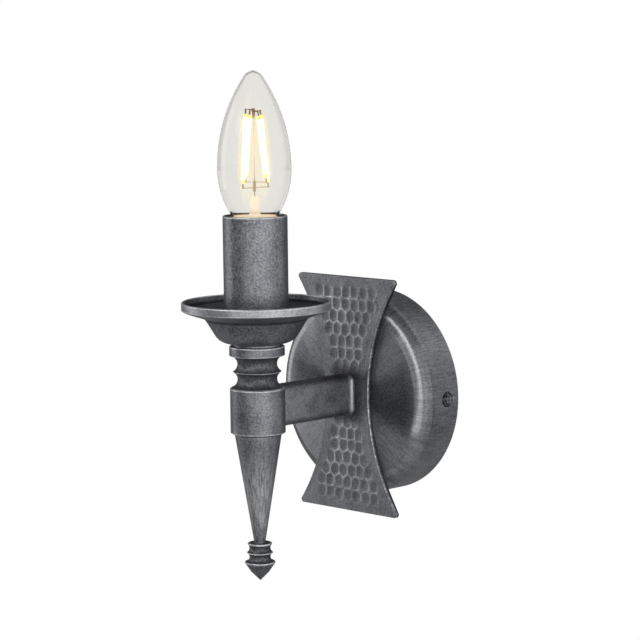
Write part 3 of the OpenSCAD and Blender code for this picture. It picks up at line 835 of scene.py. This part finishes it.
@dataclass(frozen=True)
class HammeredPlate:
    """The waisted wrought plate, its front beaten in rows of round marks with bright ridges between."""

    waist_w: float = 28.6
    end_w: float = 68.0
    corner_r: float = 1.6
    rows: int = 7
    first_z: float = 13.6
    row_pitch: float = 6.05
    column_pitch: float = 5.2
    stretch: float = 0.13
    mark_r: float = 3.0
    mark_depth: float = 0.24
    mark_squash: float = 0.86
    jitter: float = 0.5
    edge_r: float = 0.55
    calm_w: float = 2.5
    seam_w: float = 1.7
    loop_w: float = 1.2
    rim_w: float = 0.9
    # The plate is darkened round the arm as painted shade, with patina.
    arm_shade_and_patina: float = 0.75
    arm_shade_and_patina_l: float = 7.0
    seed: int = 7
    grid: tuple[int, int] = (160, 320)
    grid_inset: float = 1.8
    near_edge: tuple[float, ...] = (0.0, 0.05, 0.16, 0.32, 0.55, 0.9, 1.4)
    finish: Pewter = Pewter(
        "pewter_hammered", grain=Grain.ALONG, rubbed=(0.8, 0.8, 0.81), sunk=(0.03, 0.031, 0.034), streaks=0.2,
        clouds=0.3, tone=0.68, rub_from=0.4, patchy=0.6,
    )

    def centres(self) -> np.ndarray:
        """The middles of the hammer marks, as rows of X and Z."""
        draw = np.random.default_rng(self.seed)
        found = []
        for up in (-1, 1):
            for row in range(self.rows):
                count = 3 + round(0.7 * row)
                z = up * (self.first_z + row * self.row_pitch)
                for column in range(count):
                    x = (column - (count - 1) / 2) * (self.column_pitch + self.stretch * row)
                    found.append((x, z) + draw.uniform(-self.jitter, self.jitter, 2))
        return np.array(found)

    def half_width(self, z: np.ndarray, half_height: float) -> np.ndarray:
        """Half the plate's width at a height, its corners rounded."""
        bow = (self.end_w - self.waist_w) / 2
        side_r = (half_height**2 + bow**2) / (2 * bow)
        middle = self.waist_w / 2 + side_r
        side = middle - np.sqrt(side_r**2 - z**2)
        corner_z = half_height - self.corner_r
        corner_x = middle - math.sqrt((side_r + self.corner_r) ** 2 - corner_z**2)
        above = np.clip(np.abs(z) - corner_z, -self.corner_r, self.corner_r)
        rounded = corner_x + np.sqrt(np.maximum(self.corner_r**2 - above**2, 0.0))
        return np.where(np.abs(z) > corner_z, np.minimum(side, rounded), side)

    def _spread(self, half: float, count: int) -> np.ndarray:
        """Places from -half to half, closest together near both ends."""
        ends = half - np.array(self.near_edge)
        return np.concatenate([-ends, np.linspace(-1.0, 1.0, count) * (half - self.grid_inset), ends[::-1]])

    def build(self) -> None:
        """Builds the plate: a fine grid over its front, a wall round that, and a flat back."""
        span = Span.of("hammered_plate")
        half_height, front, back_y = span.half_height, -span.low.y, span.high.y
        heights = self._spread(half_height, self.grid[1])
        x = np.array([self._spread(half, self.grid[0]) for half in self.half_width(heights, half_height)])
        z = np.repeat(heights[:, None], x.shape[1], axis=1)
        depth, rub, pit = self._beaten(x, z, half_height)
        points = np.stack([x, -(front - depth), z], axis=-1).reshape(-1, 3)
        marks = np.stack([rub, pit], axis=-1).reshape(-1, 2)
        number = np.arange(x.size).reshape(x.shape)
        faces = np.stack([number[:-1, :-1], number[:-1, 1:], number[1:, 1:], number[1:, :-1]], axis=-1)
        border = np.concatenate([number[0, :-1], number[:-1, -1], number[-1, :0:-1], number[:0:-1, 0]])
        rim = points[border].copy()
        rim[:, 1] = back_y
        behind = list(range(x.size, x.size + len(rim)))
        faces = faces.reshape(-1, 4).tolist() + ring_faces(border.tolist(), behind)
        faces += ring_faces(behind, [x.size + len(rim)])
        points = np.vstack([points, rim, [[0.0, back_y, 0.0]]]) * MM
        marks = np.vstack([marks, np.tile([0.0, 0.9], (len(rim), 1)), [[0.0, 0.0]]])
        mesh = finished_mesh("plate_beaten", points, faces, marks, sharp_above=50.0)
        place_piece(mesh, self.finish, ["hammered_plate"])

    def _beaten(self, x: np.ndarray, z: np.ndarray, half_height: float) -> tuple[np.ndarray, ...]:
        """How deep each point of the front lies, how rubbed and how dark, with painted shade round the arm."""
        squash = np.array([1.0, self.mark_squash])
        flat = np.stack([x.ravel(), z.ravel()], axis=-1) * squash
        gaps = np.linalg.norm(flat[:, None, :] - (self.centres() * squash)[None, :, :], axis=-1)
        first, second = np.partition(gaps, 1, axis=1)[:, :2].T
        nearest, lead = first.reshape(x.shape), (second - first).reshape(x.shape)
        bowl = self.mark_depth * np.clip(1 - (nearest / self.mark_r) ** 2, 0, None)
        inset = self.half_width(z, half_height) - np.abs(x)
        edge = np.minimum(np.clip(inset, 0, None), half_height - np.abs(z))
        fallen = np.clip(self.edge_r - edge, 0, None)
        rolled = self.edge_r - np.sqrt(np.clip(self.edge_r**2 - fallen**2, 0, None))
        wave = 0.05 * np.sin(0.55 * x + 1.3) * np.sin(0.42 * z + 0.4) + 0.05
        depth = rolled + np.clip(edge / self.calm_w, 0, 1) * (bowl + wave)
        seam = np.clip(1 - lead / self.seam_w, 0, 1) * (1 - smooth(self.mark_r, self.mark_r + 1.5, nearest))
        loop = np.clip(1 - np.abs(nearest - self.mark_r) / self.loop_w, 0, 1)
        loop = loop * np.clip(1.6 - 0.5 * lead, 0, 1)
        fade = 0.85 + 0.15 * np.sin(0.11 * x - 0.5) * np.sin(0.09 * z + 0.9)
        broken = np.random.default_rng(self.seed + 1).uniform(0.25, 1.0, (x.shape[0], 1))
        rim = np.clip(1 - edge / self.rim_w, 0, 1) * broken
        rub = np.clip(np.maximum(np.maximum(seam, 0.75 * loop) * fade, rim), 0, 1)
        pit = 0.3 * (1 - smooth(self.mark_r - 1.4, self.mark_r - 0.3, nearest)) * np.clip(lead, 0, 1)
        # Darker round the arm's root: painted shade where the arm meets the plate, with patina.
        arm = Span.of("arm")
        beside, above = np.abs(x) - arm.radius, np.abs(z) - arm.half_height
        from_arm = np.hypot(np.clip(beside, 0, None), np.clip(above, 0, None))
        shaded = self.arm_shade_and_patina * (1 - smooth(0.5, self.arm_shade_and_patina_l, from_arm))
        return depth, rub * (1 - 0.5 * shaded), np.maximum(pit, shaded)


@dataclass(frozen=True)
class SupportArm:
    """The short flat arm with rounded long edges and a thin lip where it meets the plate.

    Its stations say how far out of the plate a section lies, how much wider it is, how rubbed and how dark.
    One that is counted back from the torch's axis has a distance below zero.
    """

    edge_r: float = 3.6
    lip: float = 0.5
    # The arm's long edges are darkened as painted shade.
    edge_shade: float = 0.45
    # The dark near the plate is painted shade of the corner, with patina.
    stations: tuple[tuple[float, float, float, float], ...] = (
        (0.0, 0.2, 0.0, 0.4), (0.25, 0.4, 0.3, 0.0), (0.7, 0.5, 0.5, 0.0), (1.5, 0.48, 0.5, 0.0),
        (1.9, 0.38, 0.5, 0.0), (2.2, 0.2, 0.45, 0.0), (2.5, 0.02, 0.4, 0.0), (4.2, 0.0, 0.1, 0.2),
        (8.2, 0.0, 0.0, 0.36), (16.2, 0.0, 0.0, 0.2), (-24.0, 0.0, 0.0, 0.0), (-12.0, 0.0, 0.22, 0.0),
        (-4.0, 0.0, 0.22, 0.0),
    )
    finish: Pewter = Pewter("pewter_drawn", streaks=0.1, clouds=0.45, tone=0.66, roughness=0.46)

    def build(self) -> None:
        """Sweeps the arm's section from the plate into the collar."""
        span = Span.of("arm")
        half_w, half_h = span.radius - self.lip, span.half_height - self.lip / 2
        plate_y, axis_y = span.high.y, Span.of("socket_collar").middle_y
        low = half_h - self.edge_r - 1.0
        points, marks, rings = [], [], []
        for along, grow, rub, pit in self.stations:
            y = plate_y - along if along >= 0 else axis_y - along
            section = self._section(half_w + grow, half_h + grow / 2)
            rings.append(list(range(len(points), len(points) + len(section))))
            points += [(x * MM, y * MM, z * MM) for x, z in section]
            dark = [pit + self.edge_shade * float(smooth(low, half_h, abs(z))) for _, z in section]
            marks += [(rub, min(1.0, value)) for value in dark]
        faces = [face for pair in zip(rings, rings[1:]) for face in ring_faces(*pair)]
        mesh = finished_mesh("arm_swept", points, faces + [rings[0], rings[-1]], marks)
        place_piece(mesh, self.finish, ["arm"])

    def _section(self, half_w: float, half_h: float) -> list[Point]:
        """The arm's section as a loop of points."""
        found: list[Point] = []
        for sx, sz, start in ((1, 1, 0), (-1, 1, 90), (-1, -1, 180), (1, -1, 270)):
            centre = (sx * (half_w - self.edge_r), sz * (half_h - self.edge_r))
            found += arc(centre, self.edge_r, start, start + 90, 8)
        return found


@dataclass(frozen=True)
class TurnedTorch:
    """The collar, the coved neck above it, and the taper with its pointed end below."""

    bore_r: float = 5.05
    collar_chamfer: Point = (1.8, 0.9)
    cove_r: float = 4.05
    cove_axis_r: float = 13.4
    coves: Point = (4.2, 11.4)
    foot_r: float = 12.6
    taper_foot_r: float = 2.8
    tie_r: float = 2.0
    finish: Pewter = Pewter("pewter_turned")
    taper_finish: Pewter = Pewter(
        "pewter_taper", grain=Grain.ALONG, streaks=0.3, speckle=0.75, tone=0.52, roughness=0.38,
        rub_streaks=1.0, rub_from=0.1, streak_w=1.0, streak_l=40.0,
    )

    def build(self) -> None:
        """Turns the four pieces."""
        taper = Turned(self._taper(), rub=0.0, sides=96, wiped=self._streaked)
        for name, node, turned, finish in (
            ("collar_turned", "socket_collar", Turned(self._collar()), self.finish),
            ("neck_turned", "stem_neck", Turned(self._neck()), self.finish),
            ("finial_turned", "finial", Turned(self._finial(), pit=0.6), self.finish),
            ("taper_turned", "taper_cone", taper, self.taper_finish),
        ):
            place_piece(turned.mesh(name), finish, [node], Span.of("socket_collar").axis)

    @staticmethod
    def _streaked(radius: np.ndarray, height: np.ndarray) -> np.ndarray:
        """Rubbed streaks with a painted highlight: most in the taper's lower half, and not at its foot."""
        return 0.5 * smooth(3.2, 4.4, radius) * (1 - smooth(6.5, 12.0, radius)) * (height < 0)

    def _collar(self) -> list[Point]:
        """The collar's outline."""
        span = Span.of("socket_collar")
        r, low, high = span.radius, span.low.z, span.high.z
        inset, rise = self.collar_chamfer
        foot = [(0.0, low), (r - inset, low), (r, low + rise)]
        return foot + [(r, high - 0.15), (r - 0.15, high), (0.0, high)]

    def _neck(self) -> list[Point]:
        """The neck's outline: two coves with a ridge between them under a flange."""
        span = Span.of("stem_neck")
        r, low, high = span.radius, span.low.z, span.high.z
        first, second = (low + z for z in self.coves)
        ridge = math.degrees(math.asin((second - first) / 2 / self.cove_r))
        foot = math.degrees(math.acos((self.cove_axis_r - self.foot_r) / self.cove_r))
        flange = math.degrees(math.acos((self.cove_axis_r - r) / self.cove_r))
        lower = arc((self.cove_axis_r, first), self.cove_r, 180 + foot, 180 - ridge)
        upper = arc((self.cove_axis_r, second), self.cove_r, 180 + ridge, 180 - flange)
        outline = [(self.bore_r, low), (self.foot_r, low)] + lower + upper
        return outline + [(r, high - 0.3), (r - 0.3, high), (self.bore_r, high)]

    def _taper(self) -> list[Point]:
        """The long taper's outline."""
        span = Span.of("taper_cone")
        low, high, foot = span.low.z, span.high.z, self.taper_foot_r
        return [(self.tie_r, low), (foot, low), (foot, low + 2.0), (span.radius, high), (self.tie_r, high)]

    def _finial(self) -> list[Point]:
        """The turned end's outline: a dish, two rings and a ridge over a blunt point, with coves between."""
        span = Span.of("finial")
        top = span.high.z - 1.0
        dish = [(0.0, top), (self.taper_foot_r, top), (5.5, top + 0.95)]
        dish += [(5.75, top + 0.75), (5.75, top - 0.1)]
        first = arc((7.6, top - 1.6), 2.6, 138.0, 221.0, 12)
        second = arc((7.6, top - 5.9), 2.6, 134.0, 226.0, 12)
        rings = [(6.2, top - 3.75), (6.2, top - 4.1)]
        point = [(7.25, top - 8.2), (span.radius, top - 8.7), (4.3, span.low.z + 4.3), (0.0, span.low.z)]
        return dish + first + rings + second + point


@dataclass(frozen=True)
class DripPan:
    """The dished pan that catches the drips, with an upright lip and a ledge inside."""

    bore_r: float = 5.05
    floor_t: float = 3.3
    wall: float = 1.5
    boss: Point = (11.2, 1.4)
    foot_r: float = 8.0
    foot_x: float = 12.8
    lean: float = 34.0
    ledge: float = 21.5
    shoulder: Point = (26.5, 10.7)
    shoulder_r: float = 3.05
    finish: Pewter = Pewter("pewter_pan", speckle=0.8, streaks=0.15, clouds=0.3)

    def build(self) -> None:
        """Turns the pan."""
        span = Span.of("drip_pan")
        mesh = Turned(self._outline(span), sides=192, wiped=self._wiped).mesh("drip_pan_turned")
        place_piece(mesh, self.finish, ["drip_pan"], span.axis)

    @staticmethod
    def _wiped(radius: np.ndarray, height: np.ndarray) -> np.ndarray:
        """How bright the pan is rubbed: round the outside of its lip."""
        return 0.4 * smooth(radius.max() - 1.2, radius.max() - 0.6, radius) * (height > height.min() + 16.0)

    def _outline(self, span: Span) -> list[Point]:
        """The pan's outline, up its outside and back down its inside."""
        r, low = span.radius, span.low.z
        height = span.high.z - low
        turns = (180.0 - self.lean, 90.0 + self.ledge)
        outside = [(self.bore_r, 0.0), (self.boss[0], 0.0), self.boss]
        outside += arc((self.foot_x, self.boss[1] + self.foot_r), self.foot_r, -90.0, -self.lean, 12)
        outside += arc(self.shoulder, self.shoulder_r, *turns, 10)
        outside += [(33.9, 16.4), (r, 17.2), (r, height - 0.4), (r - 0.4, height)]
        inside = [(r - self.wall + 0.4, height), (r - self.wall, 18.2), (33.0, 17.6)]
        inside += arc(self.shoulder, self.shoulder_r + self.wall, *turns[::-1], 10)
        inside += [(17.0, 4.6), (15.4, self.floor_t), (self.bore_r, self.floor_t)]
        return [(radius, low + z) for radius, z in outside + inside]


@dataclass(frozen=True)
class CandleSleeve:
    """The plain metal sleeve that stands for the candle, its top edge rolled over."""

    wall: float = 1.0
    roll_r: float = 0.6
    finish: Pewter = Pewter("pewter_sleeve", speckle=0.9, streaks=0.1, clouds=0.2, tone=0.45, roughness=0.42)

    def build(self) -> None:
        """Turns the sleeve."""
        span = Span.of("candle_tube")
        r, low, high = span.radius, span.low.z, span.high.z
        roll = arc((r - self.roll_r, high - self.roll_r), self.roll_r, 0, 90, 6)
        outline = [(r - self.wall, low), (r, low), *roll, (r - self.wall, high)]
        place_piece(Turned(outline).mesh("sleeve_turned"), self.finish, ["candle_tube"], span.axis)


@dataclass(frozen=True)
class Rod:
    """A round rod between two points, with rounded ends, in millimetres."""

    foot: Vector
    head: Vector
    radius: float
    sides: int = 20
    warm_l: float = 2.6

    def add_to(self, points: list, faces: list, marks: list) -> None:
        """Adds the rod to a mesh in the making.

        Args:
            points: the mesh's points, in metres, which grow.
            faces: its faces, which grow.
            marks: the values RUB and PIT of its points. RUB is 1 at both ends of the rod.
        """
        along = self.head - self.foot
        length = along.length
        turn = along.to_track_quat("Z", "Y").to_matrix()
        rounding = ((0.0, 0.0), (0.12, 0.5), (0.4, 0.85), (0.8, 1.0))
        stations = [(at * min(1.0, self.radius), share) for at, share in rounding]
        stations += [(at, 1.0) for at in (1.6, self.warm_l, self.warm_l + 1.2)]
        rings = []
        for at, share in stations + [(length - at, share) for at, share in reversed(stations)]:
            spokes, r = 1 if share == 0.0 else self.sides, share * self.radius
            rings.append(list(range(len(points), len(points) + spokes)))
            warm = 1.0 - min(1.0, max(0.0, (min(at, length - at) - self.warm_l + 1.0) / 1.6))
            for k in range(spokes):
                a = math.tau * k / self.sides
                points.append((self.foot + turn @ Vector((r * math.cos(a), r * math.sin(a), at))) * MM)
                marks.append((warm, 0.0))
        for pair in zip(rings, rings[1:]):
            faces += ring_faces(*pair)


@dataclass(frozen=True)
class CandleBulb:
    """The flame-shaped bulb: its glass, its glowing filaments and the painted glow round them."""

    glass_t: float = 0.7
    neck_r: float = 7.9
    tip_r: float = 5.0
    lower_r: float = 40.5
    waist_up: float = 45.5
    feet: tuple = ((-2.5, -5.0, 45.6), (-4.8, -1.1, 48.3), (5.6, 2.1, 48.3), (2.7, 6.1, 45.8))
    heads: tuple = ((-1.6, -3.6, 78.0), (-3.2, 0.5, 77.4), (3.3, -0.1, 77.0), (0.6, 4.0, 77.2))
    filament_r: float = 0.9
    glass: ClearGlass = ClearGlass("bulb_glass_clear")
    glow: Glow = Glow("filament_glow")
    pool: GlowShell = GlowShell("light_pool", (0.98, 0.8, 0.56), 0.9)
    pool_z: float = 91.0
    pool_r: float = 10.4
    glare: GlowShell = GlowShell("filament_shine", (1.12, 1.06, 0.72), 0.3)
    glare_r: float = 2.4
    bloom: GlowShell = GlowShell("bulb_bloom", (1.14, 1.06, 0.78), 0.3)
    bloom_outline: tuple[Point, ...] = (
        (3.6, -3.0), (4.8, 3.0), (6.6, 12.0), (7.6, 18.0), (7.9, 24.0), (7.4, 34.0), (6.2, 46.0), (5.2, 52.0)
    )

    def build(self) -> None:
        """Builds the glass, the filaments and their light."""
        span = Span.of("bulb_glass")
        outline = self._outline(span, 0.0) + self._outline(span, self.glass_t)[::-1]
        mesh = Turned(outline, step=0.4, softness=1, rub=0, pit=0, sides=160).mesh("glass_blown")
        place_piece(mesh, self.glass, ["bulb_glass"], span.axis, BULB)
        # A disc of painted light in the sleeve's mouth, where the bulb would light the sleeve's inside.
        r, z = self.pool_r, self.pool_z
        disc = Turned([(0.0, z - 0.1), (r, z - 0.1), (r, z), (0.0, z)], rub=0, pit=0, sides=64)
        for mesh, finish, replaced in (
            (self._rods("filaments_lit", self.filament_r), self.glow, ["bulb_filaments"]),
            (self._rods(self.glare.name, self.glare_r), self.glare, []),
            (self._bloom().mesh(self.bloom.name), self.bloom, []),
            (disc.mesh(self.pool.name), self.pool, []),
        ):
            place_piece(mesh, finish, replaced, span.axis, BULB)

    def _rods(self, name: str, radius: float) -> bpy.types.Mesh:
        """A mesh with a rod along each filament, placed over the bulb's lowest point."""
        lift = Vector((0.0, 0.0, Span.of("cap_contact").low.z))
        points, faces, marks = [], [], []
        for foot, head in zip(self.feet, self.heads):
            Rod(Vector(foot) + lift, Vector(head) + lift, radius).add_to(points, faces, marks)
        return finished_mesh(name, points, faces, marks, sharp_above=80.0)

    def _bloom(self) -> Turned:
        """The shell of painted glow round all four filaments."""
        sides = [(radius, self.pool_z + up) for radius, up in self.bloom_outline]
        outline = [(0.0, sides[0][1] - 0.4), *sides, (0.0, sides[-1][1] + 0.4)]
        return Turned(outline, step=0.6, rub=0, pit=0, sides=64, wiped=self._faded)

    def _faded(self, _: np.ndarray, height: np.ndarray) -> np.ndarray:
        """How faint the bloom is: faint at both ends."""
        low, high = self.pool_z, self.bloom_outline[-1][1] + self.pool_z
        return np.maximum(1 - smooth(low + 2.0, low + 14.0, height), smooth(high - 10.0, high - 1.0, height))

    def _outline(self, span: Span, inset: float) -> list[Point]:
        """One face of the glass, from its neck to its tip."""
        radius, low, high = span.radius, span.low.z, span.high.z
        tip_z, waist_z = high - self.tip_r, high - self.waist_up
        rise = tip_z - waist_z
        side_x = (rise**2 - (radius - self.tip_r) ** 2) / (2 * (radius - self.tip_r))
        lean = math.degrees(math.atan2(rise, side_x))
        neck = math.degrees(math.acos((self.lower_r - radius + self.neck_r) / self.lower_r))
        points = [(self.neck_r - inset, low)]
        points += arc((radius - self.lower_r, waist_z), self.lower_r - inset, -neck, 0.0, 24)
        points += arc((-side_x, waist_z), radius + side_x - inset, 0.5, lean, 30)
        return points + arc((0.0, tip_z), self.tip_r - inset, lean + 2, 90.0, 12)


def sheath(wire: str, colour: Colour) -> tuple[Finish, str]:
    """The finish of a wire's sheath, a little paler where it is worn, with the wire's node."""
    return Moulded(f"{wire}_sheath", colour, tuple(0.8 * part + 0.03 for part in colour), 0.38), wire


@dataclass(frozen=True)
class Fittings:
    """What keeps its CAD shape: the fittings behind the cup, inside the sleeve and in the bulb."""

    finishes: tuple[tuple[Finish, str], ...] = (
        (
            PlainMetal("zinc_plate", (0.62, 0.64, 0.66), (0.42, 0.44, 0.47), 0.34),
            "mounting_bracket ring_terminal terminal_screws block_screw arm_nipple arm_washer arm_nut "
            "stem_rod tie_rod pan_washer pan_nut holder_thread holder_screws",
        ),
        (
            PlainMetal("fitting_brass", (0.78, 0.57, 0.26), (0.5, 0.34, 0.15)),
            "earth_screw earth_washer terminal_inserts centre_contact side_contact holder_terminals",
        ),
        (
            Pewter("pewter_screw", speckle=0.9, tone=0.22, dark=(0.02, 0.021, 0.024), roughness=0.26),
            "side_screws",
        ),
        (Moulded("block_plastic", (0.8, 0.79, 0.74), (0.68, 0.66, 0.6), 0.45), "terminal_block"),
        (
            Moulded("holder_phenolic", (0.018, 0.017, 0.017), (0.05, 0.048, 0.045), 0.3, coat=0.2),
            "holder_base holder_skirt",
        ),
        sheath("live_wire", (0.2, 0.08, 0.03)),
        sheath("neutral_wire", (0.03, 0.12, 0.45)),
        sheath("earth_wire", (0.2, 0.42, 0.05)),
        (LitGlass("bulb_stem_lit"), "bulb_stem"),
        (PlainMetal("lead_wire_metal", (0.5, 0.36, 0.25), (0.45, 0.2, 0.08)), "filament_wires"),
        (PlainMetal("cap_nickel", (0.78, 0.77, 0.74), (0.6, 0.58, 0.53), 0.24), "bulb_cap cap_contact"),
        (
            Moulded("cap_glass_black", (0.02, 0.02, 0.025), (0.06, 0.06, 0.06), 0.15, coat=0.5),
            "cap_insulator",
        ),
        (Moulded("board_lacquer", (0.03, 0.13, 0.06), (0.06, 0.17, 0.08), 0.3), "bulb_driver"),
    )

    def build(self, nodes: Mapping[str, bpy.types.Object]) -> None:
        """Dresses every fitting.

        Args:
            nodes: the frame's objects by name.
        """
        for finish, names in self.finishes:
            for name in names.split():
                for slot in nodes[name].material_slots:
                    slot.material = finish.material()
                log.info("%s: dressed in %s", name, finish.name)


# ------------------------------------------------------------------ stage


@dataclass(frozen=True)
class Softbox:
    """A rectangular studio lamp, placed by its direction from the object. It isn't seen through glass."""

    name: str
    azimuth: float
    elevation: float
    width: float
    height: float
    power: float
    distance: float = 1.1
    aim: tuple[float, float, float] = (0.0, -0.05, 0.03)

    def build(self) -> None:
        """Hangs the lamp and points it at the object."""
        turn, rise = math.radians(self.azimuth), math.radians(self.elevation)
        away = Vector((math.cos(turn) * math.cos(rise), math.sin(turn) * math.cos(rise), math.sin(rise)))
        lamp = bpy.data.lights.new(self.name, "AREA")
        lamp.shape, lamp.size, lamp.size_y = "RECTANGLE", self.width, self.height
        lamp.energy = self.power
        holder = linked(self.name, lamp)
        holder.visible_transmission = False
        holder.location = Vector(self.aim) + self.distance * away
        holder.rotation_euler = away.to_track_quat("Z", "Y").to_euler()


@dataclass(frozen=True)
class Studio:
    """The camera of the photograph, a pale floor, a white background and soft lamps."""

    camera_at: tuple[float, float, float] = (833.54, -880.92, 181.82)
    right: tuple[float, float, float] = (0.70949, 0.70462, -0.01180)
    up: tuple[float, float, float] = (-0.07687, 0.09403, 0.99260)
    lens: float = 139.05
    film: float = 36.0
    floor_z: float = -320.0
    floor_half: float = 6000.0
    floor_shine: float = 0.05
    fill: float = 0.28
    gloss_off: float = 0.07
    gloss_on: float = 0.15
    glass_off: float = 0.06
    backdrop_edge: float = 50.0
    backdrop_full: float = 14.0
    softboxes: tuple[Softbox, ...] = (
        Softbox("lamp_right", azimuth=-15.0, elevation=0.0, width=1.4, height=1.0, power=10.5),
        Softbox("lamp_middle", azimuth=-66.0, elevation=2.0, width=0.5, height=0.8, power=2.15),
        Softbox("lamp_side", azimuth=46.0, elevation=22.0, width=0.85, height=2.0, power=5.5),
        Softbox("lamp_left", azimuth=-153.0, elevation=9.0, width=0.45, height=0.9, power=3.2),
        Softbox("lamp_top", azimuth=-92.0, elevation=30.0, width=0.8, height=0.35, power=6.0, distance=1.2),
    )

    def build(self) -> None:
        """Sets up camera, floor, world and lamps."""
        self._camera()
        self._floor()
        self._world()
        for softbox in self.softboxes:
            softbox.build()
        bpy.context.scene.view_settings.view_transform = "Standard"

    def _camera(self) -> None:
        """Puts the camera where the photograph was taken from."""
        right, up = Vector(self.right).normalized(), Vector(self.up).normalized()
        turned = Matrix((right, up, right.cross(up))).transposed().to_4x4()
        lens = bpy.data.cameras.new("photo_camera")
        lens.lens, lens.sensor_width, lens.sensor_fit = self.lens, self.film, "HORIZONTAL"
        camera = linked("photo_camera", lens)
        camera.matrix_world = Matrix.Translation(Vector(self.camera_at) * MM) @ turned
        bpy.context.scene.camera = camera

    def _floor(self) -> None:
        """Lays a pale floor with soft shadows, white to the camera and through glass, and dim in metal."""
        half, z = self.floor_half * MM, self.floor_z * MM
        corners = [(-half, -half, z), (half, -half, z), (half, half, z), (-half, half, z)]
        mesh = bpy.data.meshes.new("floor")
        mesh.from_pydata(corners, [], [(0, 1, 2, 3)])
        floor = linked("floor", mesh)
        material, shader = new_material("floor_pale")
        path = shader.node("ShaderNodeLightPath", output="Is Camera Ray")
        seen = path + path.other("Is Transmission Ray") + self.floor_shine * path.other("Is Glossy Ray")
        matt = shader.node("ShaderNodeBsdfDiffuse", inputs={"Color": (0.4, 0.4, 0.4)})
        white = shader.node("ShaderNodeEmission", inputs={"Color": (1.0, 1.0, 1.0), "Strength": 1.0})
        x, y, _ = shader.axes(shader.place())
        far = ((x * x + y * y) ** 0.5).rising(200.0, 700.0)
        shown = (0.97 + 0.03 * far) * seen.clamped()
        shader.end(shader.node("ShaderNodeMixShader", inputs={0: shown, 1: matt, 2: white}))
        mesh.materials.append(material)

    def _world(self) -> None:
        """Makes the surroundings white to the camera, bright behind the object in glass, and dim elsewhere."""
        world = bpy.data.worlds.new("studio")
        bpy.context.scene.world = world
        world.use_nodes = True
        shader = Shader(world.node_tree)
        ahead = Vector(self.up).cross(Vector(self.right)).normalized()
        direction = shader.node("ShaderNodeTexCoord", output="Generated")
        product, vectors = {"operation": "DOT_PRODUCT"}, {0: direction, 1: tuple(ahead)}
        facing = shader.node("ShaderNodeVectorMath", product, vectors, output="Value")
        limits = (math.cos(math.radians(turn)) for turn in (self.backdrop_edge, self.backdrop_full))
        behind = facing.rising(*limits)
        path = shader.node("ShaderNodeLightPath", output="Is Camera Ray")
        through = path.other("Is Transmission Ray")
        glossy = path.other("Is Glossy Ray") * (1.0 - through)
        strength = (
            path
            + through * (self.glass_off + (1.0 - self.glass_off) * behind)
            + glossy * (self.gloss_off + (self.gloss_on - self.gloss_off) * behind)
            + (1.0 - path - through - glossy).clamped() * self.fill
        )
        back = shader.node("ShaderNodeBackground", inputs={"Color": (1.0, 1.0, 1.0), "Strength": strength})
        shader.end(back, "ShaderNodeOutputWorld")


def main() -> None:
    """Builds the sconce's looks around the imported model."""
    logging.basicConfig(level=logging.INFO, format="%(name)s: %(message)s")
    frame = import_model()
    Studio().build()
    for part in (WallCup, HammeredPlate, SupportArm, TurnedTorch, DripPan, CandleSleeve, CandleBulb):
        part().build()
    Fittings().build(frame["nodes"])


if __name__ == "__main__":
    main()
